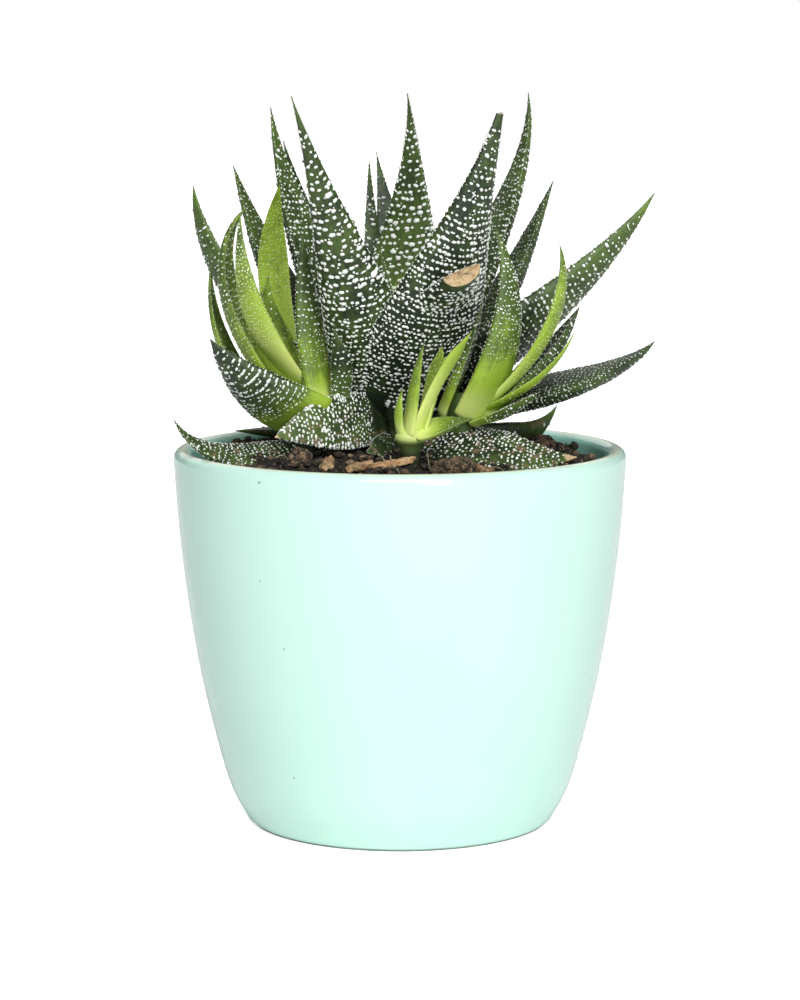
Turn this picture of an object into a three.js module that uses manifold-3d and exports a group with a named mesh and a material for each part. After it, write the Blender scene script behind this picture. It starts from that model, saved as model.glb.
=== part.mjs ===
// A potted haworthia: one main rosette and three offsets of succulent leaves in a glazed cup.
// Millimetres, +Z up, origin at the middle of the pot's flat foot, front towards -Y.

import * as THREE from 'three';
import { ParametricGeometry } from 'three/addons/geometries/ParametricGeometry.js';
import { mergeVertices } from 'three/addons/utils/BufferGeometryUtils.js';
import Module from 'manifold-3d';

const wasm = await Module();
wasm.setup();

// Pot
const RIM_RADIUS = 45;
const POT_HEIGHT = 75;
const POT_WALL = 3.7;
const POT_FLOOR = 6;
const INSIDE_CORNER = 3;
const LIP_ROUND = 1.8;
const LIP_ANGLES = [60, 90, 120];
const FOOT_RADIUS = 29.8;
const POT_SIDES = 40;
// Outer radius at each height of the slightly bellied wall, bottom to top
const WALL_PROFILE = [
  [30.8, 1], [33.9, 6.8], [36.5, 15.4], [39.9, 29.9], [42.3, 44.3], [44, 58.8], [RIM_RADIUS, 73.2],
];

// Soil
const GAP = 0.3;
const SOIL_TOP = 74.4;
const SOIL_EDGE_DROP = 3.6;
const SOIL_FLAT_RADIUS = 32;
const SIDE_SLACK = 0.5;
const CORNER_SLACK = 3.7;
const MOUND_HEIGHT = 1.8;
const MOUND_TOP_RADIUS = 6;
const MOUND_RADIUS = 26;
const SOIL_RINGS = 6;
const SOIL_SIDES = 26;
const LUMP_HEIGHT = 0.6;
// Wavelengths of the lumps across, along and on the diagonal
const LUMP_WAVES = [7.2, 8.3, 4.5];
const CRUMB_KNOCK = 0.14;

// Leaf form, as shares of a leaf's length or width
const WIDEST_AT = 0.35;
const FOOT_WIDTH = 0.72;
const OUTER_BULGE = 0.26;
const INNER_BULGE = 0.08;
const BULGE_POWER = 0.75;
// The narrowing past the widest point is part wave and part slope, and the slope's edge is this full
const TAPER_WAVE = 0.2;
const TAPER_SLOPE = 0.6;
const FULLNESS = 1.5;
const THINNEST = 0.045;
const POINTED_LAST_RING = 0.955;
const TIP_CLEARANCE = 1;

// Tubercles, the pearly grains in rows across a leaf
const TUBERCLE_HEIGHT = 0.5;
const TUBERCLES_END_AT = 0.9;

// Edges shorter than this are closed up after a cut
const SHORTEST_EDGE = 0.05;

// Rosettes: where each one's axis stands, how far out its leaves start, and its grid of tubercles
const MAIN = { axis: [0, 3], reach: 6, rings: 13, outerSteps: 5, innerSteps: 3, grainFrom: 0.12 };
const LEFT = { axis: [-18, -10], reach: 2.4, rings: 9, outerSteps: 4, innerSteps: 2, grainFrom: 0.4 };
const RIGHT = { axis: [12, -12], reach: 2.4, rings: 9, outerSteps: 4, innerSteps: 2, grainFrom: 0.4 };
const FRONT = { axis: [2, -27], reach: 1.7, rings: 6, outerSteps: 4, innerSteps: 2, grainFrom: 0.6 };

// Stems: radius at each height above the pot's foot
const OFFSET_STEM = [[1.5, 64], [2.2, 68], [2.4, 79], [3, 84], [2, 87]];
const STEMS = [
  { name: 'main_stem', axis: MAIN.axis, profile: [[3, 58], [7, 64], [8, 72], [8, 79], [6.5, 84], [4, 88]] },
  { name: 'left_offset_stem', axis: LEFT.axis, profile: OFFSET_STEM },
  { name: 'right_offset_stem', axis: RIGHT.axis, profile: OFFSET_STEM },
  {
    name: 'front_offset_stem',
    axis: FRONT.axis,
    profile: [[1.2, 66], [1.6, 70], [1.7, 76.5], [2.8, 79], [3, 80.5], [1.6, 82.5]],
  },
];
const STEM_SIDES = 10;

// Leaves: the way each one points (degrees from +X), how far it turns by its tip, its lean from upright at
// foot and tip, how late it bends, its length and width, its foot's height and its roll about its own line.
// Some also say how far out they start, where along them they are widest, how full their edge stays past
// that, how broad their foot is and what share of their length was cut off.
// A leaf is cut clear of every leaf above it in the list, so the ones that lie outermost come first.
const MAIN_LEAVES = [
  {
    points: 247.5, turn: -43, lean: [88, 107], bend: 2.7, length: 32, width: 10.8, foot: 81.5,
    roll: -76, reach: 6.2, widest: 0.45, full: 3,
  },
  {
    points: 288, turn: 87, lean: [100, 90], bend: 0.9, length: 39, width: 15.3, foot: 79,
    roll: 27, reach: 9.6, widest: 0.55, full: 1.8,
  },
  {
    points: 220.5, turn: -34, lean: [98, 27], bend: 3.5, length: 44, width: 10.3, foot: 77.5,
    roll: -25, reach: 8.6, widest: 0.55, full: 1.3,
  },
  {
    points: 262.5, turn: -11, lean: [94.5, 87], bend: 1.1, length: 26, width: 4.8, foot: 77.5,
    roll: -48, reach: 4.2, widest: 0.5, full: 1.8,
  },
  { points: 170, turn: 0, lean: [85, 96], length: 28, width: 12, foot: 77.5, roll: 0 },
  {
    points: 12, turn: 7, lean: [117, 35], bend: 1.4, length: 29, width: 13.5, foot: 79,
    roll: -38, reach: 6.6, widest: 0.5, full: 1.3,
  },
  {
    points: 295.5, turn: -10, lean: [2, 79], length: 45.5, width: 19.6, foot: 79.5, roll: 21,
    cut: 0.26, widest: 0.35, full: 1.1,
  },
  {
    points: 249.5, turn: -20, lean: [45.5, 25], bend: 0.5, length: 73, width: 18.2, foot: 82.5,
    roll: 18, reach: 3.4, widest: 0.2, full: 0.9,
  },
  {
    points: 346, turn: -12, lean: [78, 52], bend: 3.5, length: 49, width: 14.1, foot: 82.5,
    roll: 16, widest: 0.45, full: 2.6,
  },
  {
    points: 282, turn: 53, lean: [35, 17], bend: 1.6, length: 67, width: 23.8, foot: 82,
    roll: 2, reach: 3.2, cut: 0.08, widest: 0.3, full: 1.1,
  },
  {
    points: -1, turn: 7, lean: [53.5, 35.5], bend: 2.7, length: 65, width: 16.9, foot: 82.5,
    roll: -37, reach: 2, widest: 0.2, full: 2.3,
  },
  {
    points: 164.5, turn: 23, lean: [51.5, 8.5], bend: 2.2, length: 60, width: 15.8, foot: 80.5,
    roll: 16, reach: 5.6, widest: 0.45, full: 2,
  },
  {
    points: 149.5, turn: 1, lean: [50, 23], bend: 0.7, length: 60, width: 15, foot: 81,
    roll: 5, widest: 0.4, full: 1.5,
  },
  {
    points: 34, turn: -4, lean: [41, 28.5], bend: 0.7, length: 55.5, width: 15.3, foot: 81,
    roll: -13, reach: 6.4, full: 1.6,
  },
  {
    points: 149.5, turn: 8, lean: [29, 9.5], bend: 2.4, length: 65, width: 16.3, foot: 82.5,
    roll: -4, reach: 3.8, full: 1.2,
  },
  {
    points: 58.5, turn: -39, lean: [37, -3], bend: 3.5, length: 71.5, width: 14.8, foot: 83,
    roll: -7, reach: 4.4, full: 1.8,
  },
  { points: 75, turn: 0, lean: [74, 44], length: 46, width: 15, foot: 79, roll: 0 },
  { points: 112, turn: 0, lean: [72, 40], length: 48, width: 15, foot: 79, roll: 0 },
  { points: 138, turn: 0, lean: [86, 62], length: 42, width: 14, foot: 78, roll: 0 },
  { points: 60, turn: 6, lean: [90, 64], length: 43, width: 13.5, foot: 77.5, roll: 0 },
  { points: 96, turn: -5, lean: [92, 66], length: 42, width: 13.5, foot: 77.5, roll: 0 },
  { points: 138.5, turn: 0, lean: [31, 20], length: 60, width: 13.1, foot: 81, roll: -4, full: 1.3 },
  {
    points: 94, turn: -38, lean: [38, -14], bend: 1.5, length: 66, width: 18.1, foot: 84,
    roll: -12, reach: 4, full: 0.9,
  },
  {
    points: 84, turn: 38, lean: [69.5, 17], bend: 0.6, length: 62.5, width: 11.7, foot: 83.5,
    roll: -15, reach: 9.4, full: 1.4,
  },
  {
    points: 97, turn: 9, lean: [67.5, 2], bend: 0.9, length: 62, width: 7.7, foot: 82,
    roll: 3, reach: 6.6, widest: 0.25, full: 1.8,
  },
  { points: 235, turn: 0, lean: [12, 6], length: 30, width: 9, foot: 85, roll: 0, reach: 2 },
  { points: 40, turn: 0, lean: [14, 4], length: 26, width: 9, foot: 86, roll: 0, reach: 2 },
];
const LEFT_LEAVES = [
  {
    points: 214.5, turn: 1, lean: [64.5, 41.5], bend: 1.6, length: 27.5, width: 19.5, foot: 83,
    roll: 16, reach: -0.4, widest: 0.1, full: 2.1, broad: 0.6,
  },
  {
    points: 320.5, turn: -6, lean: [-23.5, -1.5], bend: 0.6, length: 36, width: 7.6, foot: 82.5,
    roll: -1, reach: 4.6, widest: 0.3, full: 2.9, broad: 1,
  },
  {
    points: 218, turn: 0, lean: [52, -4.5], length: 38, width: 7.3, foot: 89, roll: 6,
    reach: 1, full: 1.8, broad: 0.5,
  },
  {
    points: 179, turn: -13, lean: [31.5, -44], bend: 3.1, length: 44.5, width: 12.3, foot: 82.5,
    roll: 1, reach: 1.8, widest: 0.4, full: 2.3,
  },
  {
    points: 334, turn: -112, lean: [2, 25.5], bend: 0.5, length: 23, width: 4.1, foot: 78.5,
    roll: 4, reach: 6, widest: 0.6, full: 1.9,
  },
  {
    points: 115.5, turn: -2, lean: [40.5, -35], bend: 1.8, length: 48.5, width: 6.7, foot: 83.5,
    roll: 2, widest: 0.6, full: 2.2, smoothInside: true,
  },
  {
    points: 162, turn: 0, lean: [64.5, -1.5], bend: 0.9, length: 37.5, width: 9, foot: 81,
    roll: 5, full: 1.7,
  },
  {
    points: 147.5, turn: 2, lean: [35, -13], bend: 1.8, length: 27.5, width: 10.6, foot: 84.5,
    roll: -10, reach: 0.8, widest: 0.5, full: 1,
  },
];
const RIGHT_LEAVES = [
  {
    points: 321.5, turn: 4, lean: [35, -25], bend: 1.4, length: 38.5, width: 12.7, foot: 83,
    roll: 4, reach: 1.6, widest: 0.15, full: 2.4, broad: 0.9,
  },
  {
    points: 324.5, turn: -13, lean: [69.5, 69], length: 18, width: 8, foot: 82, roll: 14,
    widest: 0.45, full: 1.6,
  },
  {
    points: 344.5, turn: -11, lean: [46.5, -11.5], bend: 2.1, length: 39.5, width: 8.2, foot: 83,
    roll: 11, reach: 1.8, widest: 0.55, full: 2,
  },
  {
    points: 331, turn: 2, lean: [66, 23], bend: 2.1, length: 29.5, width: 4.7, foot: 83,
    roll: 4, reach: 1.6, widest: 0.3, full: 1.5,
  },
  {
    points: 3, turn: 2, lean: [50, 36], bend: 1.1, length: 30, width: 10.3, foot: 82,
    roll: 1, widest: 0.65, full: 1.7,
  },
  {
    points: 165.5, turn: -8, lean: [-28.5, -9.5], length: 23.5, width: 8.7, foot: 82, roll: 9,
    reach: 3.6, widest: 0.25, full: 1.5,
  },
];
const FRONT_LEAVES = [
  {
    points: 349.5, turn: -20, lean: [21, 43.5], bend: 1.4, length: 24, width: 3.7, foot: 80,
    roll: -14, reach: 0.4, widest: 0.7, full: 1.4, broad: 1.2,
  },
  {
    points: 343.5, turn: 3, lean: [65.5, 80], bend: 0.5, length: 12, width: 7.2, foot: 81,
    roll: 24, reach: 0.8, widest: 0.25, full: 1.4, broad: 0.9,
  },
  {
    points: 176.5, turn: -14, lean: [-10, -7.5], bend: 0.8, length: 19, width: 6.9, foot: 79.5,
    roll: 17, reach: 0.2, widest: 0.45, full: 1.6, broad: 0.9,
  },
  {
    points: 200, turn: 5, lean: [17, -15], bend: 0.8, length: 9.5, width: 3.1, foot: 80,
    roll: 5, widest: 0.4, full: 1.6, broad: 0.9,
  },
  {
    points: 24.5, turn: 10, lean: [13, 20.5], length: 18, width: 5.4, foot: 80, roll: -5,
    widest: 0.7, full: 1.8, broad: 0.9,
  },
];

// Bark chips: place on the soil, lift above it, turn about the vertical, tilt, and size
const BARK_CHIPS = [
  { at: [-2.4, -30.5], lift: 0.9, turn: 18, tilt: 9, size: [10, 2.8, 1.3] },
  { at: [-7.6, -32], lift: 0.5, turn: -25, tilt: 14, size: [5, 3.4, 1.5] },
  { at: [-13.7, -29.5], lift: 0.7, turn: 70, tilt: 35, size: [4, 2.8, 1.6] },
  { at: [15.5, -32], lift: 0.6, turn: -35, tilt: -12, size: [4.4, 2.8, 1.4] },
];

// Crumbs of soil: place on the surface, lift above it, and radii
const CRUMBS = [
  { at: [10.5, -32], lift: 0.3, radii: [4.4, 2.8, 2] },
  { at: [-19, -25], lift: 0.5, radii: [2.2, 1.9, 2] },
  { at: [28.5, 4], lift: 0.3, radii: [2.6, 2.2, 1.8] },
];

const LEAF_DARK = '#35512f';
const LEAF_BRIGHT = '#8fb03e';
const LEAF_PALE = '#a9c264';
const STEM_GREEN = '#6d7a45';
const GLAZE_MINT = '#c9ece3';
const SOIL_BROWN = '#2c2318';
const BARK_BROWN = '#a5845c';

// Returns a closed solid from a geometry whose seams and poles meet.
function solidOf(geometry) {
  geometry.deleteAttribute('normal');
  geometry.deleteAttribute('uv');
  const merged = mergeVertices(geometry, 1e-4);
  const corners = merged.index.array;
  const triVerts = [];
  for (let i = 0; i < corners.length; i += 3) {
    const [a, b, c] = [corners[i], corners[i + 1], corners[i + 2]];
    const collapsed = a === b || b === c || c === a;
    if (!collapsed) triVerts.push(a, b, c);
  }
  const vertProperties = new Float32Array(merged.attributes.position.array);
  const skin = new wasm.Mesh({ numProp: 3, vertProperties, triVerts: new Uint32Array(triVerts) });
  return new wasm.Manifold(skin);
}

// Returns the largest body of a solid, with edges too short to matter collapsed.
function mainBody(solid) {
  const bodies = solid.simplify(SHORTEST_EDGE).decompose();
  return bodies.sort((a, b) => b.volume() - a.volume())[0];
}

function geometryOf(solid) {
  const mesh = solid.getMesh();
  const geometry = new THREE.BufferGeometry();
  geometry.setAttribute('position', new THREE.BufferAttribute(new Float32Array(mesh.vertProperties), 3));
  geometry.setIndex(new THREE.BufferAttribute(new Uint32Array(mesh.triVerts), 1));
  geometry.computeVertexNormals();
  return geometry;
}

// Share of its full width that a leaf has at a share s of its length: it swells from a broad foot to its
// widest point, then narrows in a long taper to a fine tip. A cut leaf is the same form, ended early.
function taper(leaf, s) {
  const whole = s * (1 - (leaf.cut ?? 0));
  const widest = leaf.widest ?? WIDEST_AT;
  const foot = leaf.broad ?? FOOT_WIDTH;
  const rise = foot + (1 - foot) * Math.sin((Math.PI / 2) * Math.min(whole / widest, 1));
  const past = Math.max((whole - widest) / (1 - widest), 0);
  const wave = TAPER_WAVE * (1 + Math.cos(Math.PI * past));
  return rise * (wave + TAPER_SLOPE * (1 - past ** (leaf.full ?? FULLNESS)));
}

// Direction of a leaf at a share s of its length, with its crosswise and outward directions.
function leafFrame(leaf, s) {
  const heading = THREE.MathUtils.degToRad(leaf.points + leaf.turn * s);
  const bend = leaf.bend ?? 1;
  const lean = THREE.MathUtils.degToRad(leaf.lean[0] + (leaf.lean[1] - leaf.lean[0]) * s ** bend);
  const along = new THREE.Vector3(
    Math.sin(lean) * Math.cos(heading),
    Math.sin(lean) * Math.sin(heading),
    Math.cos(lean),
  );
  const across = new THREE.Vector3(-Math.sin(heading), Math.cos(heading), 0);
  const outward = new THREE.Vector3().crossVectors(across, along);
  const roll = THREE.MathUtils.degToRad(leaf.roll);
  across.applyAxisAngle(along, roll);
  outward.applyAxisAngle(along, roll);
  return { along, across, outward };
}

// Points down the middle of a leaf, one for each step of its length.
const SPINE_STEPS = 60;
function leafSpine(leaf, rosette) {
  const heading = THREE.MathUtils.degToRad(leaf.points);
  const reach = leaf.reach ?? rosette.reach;
  const at = new THREE.Vector3(
    rosette.axis[0] + reach * Math.cos(heading),
    rosette.axis[1] + reach * Math.sin(heading),
    leaf.foot,
  );
  const points = [at.clone()];
  for (let step = 0; step < SPINE_STEPS; step += 1) {
    const { along } = leafFrame(leaf, (step + 0.5) / SPINE_STEPS);
    at.addScaledVector(along, leaf.length / SPINE_STEPS);
    points.push(at.clone());
  }
  return points;
}

// A leaf's closed skin, everywhere `grow` proud of its true size. Every second grain point is raised.
function leafSolid(leaf, rosette, grow) {
  const spine = leafSpine(leaf, rosette);
  const { rings, outerSteps, innerSteps, grainFrom } = rosette;
  const around = outerSteps + innerSteps;
  const isCut = 'cut' in leaf;
  const lastRing = isCut ? 1 : POINTED_LAST_RING;

  const skin = (u, v, target) => {
    const ring = Math.round(v * (rings + 1)) - 1;
    const spoke = Math.round((1 - u) * around) % around;
    const atPole = ring < 0 || ring === rings;
    const s = Math.min(Math.max(ring, 0) / (rings - 1), 1) * (ring === rings ? 1 : lastRing);
    const { along, across, outward } = leafFrame(leaf, s);
    target.copy(spine[Math.round(s * SPINE_STEPS)]);
    if (atPole) {
      const push = ring < 0 ? -grow : (grow / GAP) * (isCut ? GAP : TIP_CLEARANCE);
      target.addScaledVector(along, push);
      return;
    }
    const share = Math.max(taper(leaf, s), THINNEST);
    const onOuter = spoke <= outerSteps;
    const round = onOuter ? spoke / outerSteps : 1 + (spoke - outerSteps) / innerSteps;
    const angle = Math.PI * round;
    const bulge = (onOuter ? OUTER_BULGE : INNER_BULGE) * leaf.width * share ** BULGE_POWER;
    const smooth = leaf.smoothInside && !onOuter;
    const grainy = !smooth && s > grainFrom && s < TUBERCLES_END_AT && (ring + spoke) % 2 === 0;
    const proud = grow + (grainy ? TUBERCLE_HEIGHT : 0);
    target.addScaledVector(across, ((leaf.width / 2) * share + proud) * Math.cos(angle));
    target.addScaledVector(outward, (bulge + proud) * Math.sin(angle));
  };
  return solidOf(new ParametricGeometry(skin, around, rings + 1));
}

// A turned solid about a vertical axis, everywhere `grow` proud of its true size.
function turned(profile, axis, sides, grow) {
  const bottom = profile[0][1] - grow;
  const top = profile[profile.length - 1][1] + grow;
  const wall = profile.map(([radius, z]) => new THREE.Vector2(radius + grow, z));
  wall[0].y = bottom;
  wall[wall.length - 1].y = top;
  const outline = [new THREE.Vector2(0, bottom), ...wall, new THREE.Vector2(0, top)];
  const geometry = new THREE.LatheGeometry(outline, sides);
  geometry.rotateX(Math.PI / 2);
  geometry.translate(axis[0], axis[1], 0);
  return solidOf(geometry);
}

// Radius of the pot's outer wall at a height.
function wallRadius(z) {
  const upper = WALL_PROFILE.findIndex(([, height]) => height >= z);
  const [r0, z0] = WALL_PROFILE[Math.max(upper - 1, 0)];
  const [r1, z1] = WALL_PROFILE[Math.max(upper, 1)];
  return r0 + ((r1 - r0) * (z - z0)) / (z1 - z0);
}

// The pot: foot, bellied wall, rounded lip, and an inside that follows the outside.
function potSolid() {
  const outer = WALL_PROFILE.map(([radius, z]) => new THREE.Vector2(radius, z));
  const lipMiddle = RIM_RADIUS - POT_WALL / 2;
  const lip = LIP_ANGLES.map((degrees) => {
    const angle = THREE.MathUtils.degToRad(degrees);
    const x = lipMiddle + (POT_WALL / 2) * Math.cos(angle);
    return new THREE.Vector2(x, POT_HEIGHT - LIP_ROUND + LIP_ROUND * Math.sin(angle));
  });
  const above = WALL_PROFILE.filter(([, z]) => z > 2 * POT_FLOOR).reverse();
  const inner = above.map(([radius, z]) => new THREE.Vector2(radius - POT_WALL, z));
  const outline = [
    new THREE.Vector2(0, 0),
    new THREE.Vector2(FOOT_RADIUS, 0),
    ...outer,
    ...lip,
    ...inner,
    new THREE.Vector2(wallRadius(POT_FLOOR) - POT_WALL - INSIDE_CORNER, POT_FLOOR),
    new THREE.Vector2(0, POT_FLOOR),
  ];
  const geometry = new THREE.LatheGeometry(outline, POT_SIDES);
  geometry.rotateX(Math.PI / 2);
  return solidOf(geometry);
}

// Height of the soil: flat in the middle, falling away to the wall, with low lumps.
function soilHeight(x, y) {
  const r = Math.hypot(x, y);
  const innerWall = wallRadius(SOIL_TOP - SOIL_EDGE_DROP) - POT_WALL;
  const fall = THREE.MathUtils.smoothstep(r, SOIL_FLAT_RADIUS, innerWall);
  const [across, along, diagonal] = LUMP_WAVES.map((wave) => (2 * Math.PI) / wave);
  const lump = Math.sin(x * across) * Math.cos(y * along) + 0.6 * Math.sin((x + y) * diagonal);
  const mound = MOUND_HEIGHT * (1 - THREE.MathUtils.smoothstep(r, MOUND_TOP_RADIUS, MOUND_RADIUS));
  return SOIL_TOP + mound - SOIL_EDGE_DROP * fall + LUMP_HEIGHT * lump;
}

// The soil fills the pot up to its lumpy surface.
function soilSolid() {
  const edgeHeight = SOIL_TOP - SOIL_EDGE_DROP;
  const outline = [new THREE.Vector2(0, POT_FLOOR + GAP)];
  outline.push(new THREE.Vector2(wallRadius(POT_FLOOR) - POT_WALL - CORNER_SLACK, POT_FLOOR + GAP));
  const beside = WALL_PROFILE.filter(([, z]) => z > 2 * POT_FLOOR && z < edgeHeight);
  beside.forEach(([radius, z]) => outline.push(new THREE.Vector2(radius - POT_WALL - SIDE_SLACK, z)));
  const edgeRadius = wallRadius(edgeHeight) - POT_WALL - SIDE_SLACK;
  for (let ring = SOIL_RINGS; ring >= 0; ring -= 1) {
    outline.push(new THREE.Vector2((edgeRadius * ring) / SOIL_RINGS, edgeHeight));
  }
  const geometry = new THREE.LatheGeometry(outline, SOIL_SIDES);
  geometry.rotateX(Math.PI / 2);
  const position = geometry.attributes.position;
  for (let i = 0; i < position.count; i += 1) {
    const onTop = position.getZ(i) > edgeHeight - GAP;
    if (onTop) position.setZ(i, soilHeight(position.getX(i), position.getY(i)));
  }
  return solidOf(geometry);
}

// The point that lies `lift` above the soil at a place.
function overSoil({ at: [x, y], lift }) {
  return new THREE.Vector3(x, y, soilHeight(x, y) + lift);
}

// A bark chip: a thin slip with a ragged outline, everywhere `grow` proud.
function chipSolid(chip, grow) {
  const [length, width, thick] = chip.size.map((side) => side + 2 * grow);
  const outline = new THREE.Shape([
    new THREE.Vector2(-0.5 * length, -0.2 * width),
    new THREE.Vector2(-0.1 * length, -0.5 * width),
    new THREE.Vector2(0.34 * length, -0.42 * width),
    new THREE.Vector2(0.5 * length, 0.1 * width),
    new THREE.Vector2(0.22 * length, 0.5 * width),
    new THREE.Vector2(-0.36 * length, 0.4 * width),
  ]);
  const geometry = new THREE.ExtrudeGeometry(outline, { depth: thick, bevelEnabled: false });
  geometry.translate(0, 0, -thick / 2);
  geometry.rotateY(THREE.MathUtils.degToRad(-chip.tilt));
  geometry.rotateZ(THREE.MathUtils.degToRad(chip.turn));
  geometry.translate(...overSoil(chip));
  return solidOf(geometry);
}

// A crumb of soil: a ball with knocked-in sides, stretched to its radii.
function crumbSolid(crumb, grow) {
  const geometry = new THREE.IcosahedronGeometry(1, 1);
  const position = geometry.attributes.position;
  const corner = new THREE.Vector3();
  for (let i = 0; i < position.count; i += 1) {
    corner.fromBufferAttribute(position, i);
    const waves = Math.sin(5 * corner.x + 3 * corner.y) + Math.cos(4 * corner.z - corner.x);
    corner.multiplyScalar(1 - CRUMB_KNOCK * Math.abs(waves));
    position.setXYZ(i, ...crumb.radii.map((radius, axis) => corner.getComponent(axis) * (radius + grow)));
  }
  geometry.translate(...overSoil(crumb));
  return solidOf(geometry);
}

function finish(color, roughness, metalness = 0) {
  return new THREE.MeshStandardMaterial({ color, roughness, metalness });
}

// Builds the plant: stems first, then every leaf cut clear of the stems and of the leaves before it.
const plant = new THREE.Group();
function place(name, solid, material) {
  const mesh = new THREE.Mesh(geometryOf(solid), material);
  mesh.name = name;
  plant.add(mesh);
}

const pot = potSolid();
place('pot', pot, finish(GLAZE_MINT, 0.15));

let soil = soilSolid();
const cutters = [];
for (const { name, axis, profile } of STEMS) {
  place(name, turned(profile, axis, STEM_SIDES, 0), finish(STEM_GREEN, 0.6));
  const hole = turned(profile, axis, STEM_SIDES, GAP);
  soil = soil.subtract(hole);
  cutters.push(hole);
}

const ROSETTES = [
  { prefix: 'main_leaf', rosette: MAIN, leaves: MAIN_LEAVES, color: LEAF_DARK },
  { prefix: 'left_offset_leaf', rosette: LEFT, leaves: LEFT_LEAVES, color: LEAF_BRIGHT },
  { prefix: 'right_offset_leaf', rosette: RIGHT, leaves: RIGHT_LEAVES, color: LEAF_BRIGHT },
  { prefix: 'front_offset_leaf', rosette: FRONT, leaves: FRONT_LEAVES, color: LEAF_PALE },
];
for (const { prefix, rosette, leaves, color } of ROSETTES) {
  leaves.forEach((leaf, index) => {
    const whole = leafSolid(leaf, rosette, 0);
    const trimmed = mainBody(cutters.reduce((rest, cutter) => rest.subtract(cutter), whole));
    place(`${prefix}_${String(index + 1).padStart(2, '0')}`, trimmed, finish(color, 0.45));
    const grown = leafSolid(leaf, rosette, GAP);
    soil = soil.subtract(grown);
    cutters.push(grown);
  });
}

BARK_CHIPS.forEach((chip, index) => {
  const trimmed = mainBody(cutters.reduce((rest, cutter) => rest.subtract(cutter), chipSolid(chip, 0)));
  place(`bark_chip_${index + 1}`, trimmed, finish(BARK_BROWN, 0.9));
  const grown = chipSolid(chip, GAP);
  soil = soil.subtract(grown);
  cutters.push(grown);
});

CRUMBS.forEach((crumb, index) => {
  const trimmed = mainBody(cutters.reduce((rest, cutter) => rest.subtract(cutter), crumbSolid(crumb, 0)));
  place(`soil_crumb_${index + 1}`, trimmed, finish(SOIL_BROWN, 0.95));
  const grown = crumbSolid(crumb, GAP);
  soil = soil.subtract(grown);
  cutters.push(grown);
});

place('soil', mainBody(soil), finish(SOIL_BROWN, 0.95));

export default plant;
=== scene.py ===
"""A potted haworthia: a glazed cup of soil with one rosette of grained leaves and three offsets.
Sizes are in millimetres and are brought to metres where a piece is made. The front faces -Y."""

import math

import bpy
import numpy as np
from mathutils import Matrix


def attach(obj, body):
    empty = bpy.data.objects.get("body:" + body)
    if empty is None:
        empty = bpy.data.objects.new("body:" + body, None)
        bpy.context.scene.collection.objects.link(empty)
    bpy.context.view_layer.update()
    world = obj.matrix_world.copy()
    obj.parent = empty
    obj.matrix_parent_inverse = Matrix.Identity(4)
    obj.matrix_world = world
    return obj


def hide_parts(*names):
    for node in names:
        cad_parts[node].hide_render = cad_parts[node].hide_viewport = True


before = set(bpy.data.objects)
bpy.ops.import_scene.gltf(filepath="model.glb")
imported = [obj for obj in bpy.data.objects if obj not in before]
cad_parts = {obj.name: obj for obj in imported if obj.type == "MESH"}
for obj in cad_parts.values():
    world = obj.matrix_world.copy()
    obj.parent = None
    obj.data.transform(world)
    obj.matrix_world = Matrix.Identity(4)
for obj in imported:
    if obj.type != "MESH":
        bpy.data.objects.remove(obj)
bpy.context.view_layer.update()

# The pot: one slip-cast earthenware cup with a slightly bellied wall, a full round lip and a narrower
# flat foot. It is dipped in a glossy pale mint glaze, which thins to cream on the crest of the lip.
MM = 0.001
POT_HEIGHT = 75.0
POT_WALL = 3.7
POT_FLOOR = 6.0
RIM_RADIUS = 45.0
FOOT_RADIUS = 29.8
FOOT_BEVEL_WIDTH = 0.4
FOOT_BEVEL_HEIGHT = 0.08
UNDERSIDE_RING = 4.0
LIP_ROUND = 1.8
LIP_STEP = 10
LIP_RINGS_INSIDE = 3
INSIDE_CORNER = 3.0
# Outer radius and height of the wall, bottom to top
WALL = np.array([
    (30.8, 1.0), (33.9, 6.8), (36.5, 15.4), (39.9, 29.9), (42.3, 44.3), (44.0, 58.8), (45.0, 73.2),
])
WALL_STEPS = 8
POT_TURNS = 168


def through(points, steps):
    """A smooth line through points. Between two neighbours p1 and p2 it is the cubic
    p1 + t*(p2-p0)/2 + t^2*(2p0-5p1+4p2-p3)/2 + t^3*(3p1-p0-3p2+p3)/2, with the end points doubled."""
    held = np.vstack([2 * points[0] - points[1], points, 2 * points[-1] - points[-2]])
    p0, p1, p2, p3 = (held[i:len(held) - 3 + i, None, :] for i in range(4))
    t = np.arange(steps)[None, :, None] / steps
    line = p1 + t * (p2 - p0) / 2 + t**2 * (2 * p0 - 5 * p1 + 4 * p2 - p3) / 2
    line = line + t**3 * (3 * p1 - p0 - 3 * p2 + p3) / 2
    return np.vstack([line.reshape(-1, points.shape[1]), points[-1]])


def tube_faces(rings, around):
    """Faces of a closed skin: point 0 is its first pole, then come rings of points, then its last pole.
    Returns the quads between rings and the triangles round both poles."""
    i, j = np.meshgrid(np.arange(rings - 1), np.arange(around), indexing="ij")
    k = (j + 1) % around
    at = 1 + i * around
    quads = np.stack([at + j, at + k, at + around + k, at + around + j], -1).reshape(-1, 4)
    j = np.arange(around)
    k = (j + 1) % around
    last = 1 + (rings - 1) * around
    first_cap = np.stack([np.zeros_like(j), k + 1, j + 1], -1)
    last_cap = np.stack([np.full_like(j, last + around), last + j, last + k], -1)
    return quads, np.vstack([first_cap, last_cap])


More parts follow.
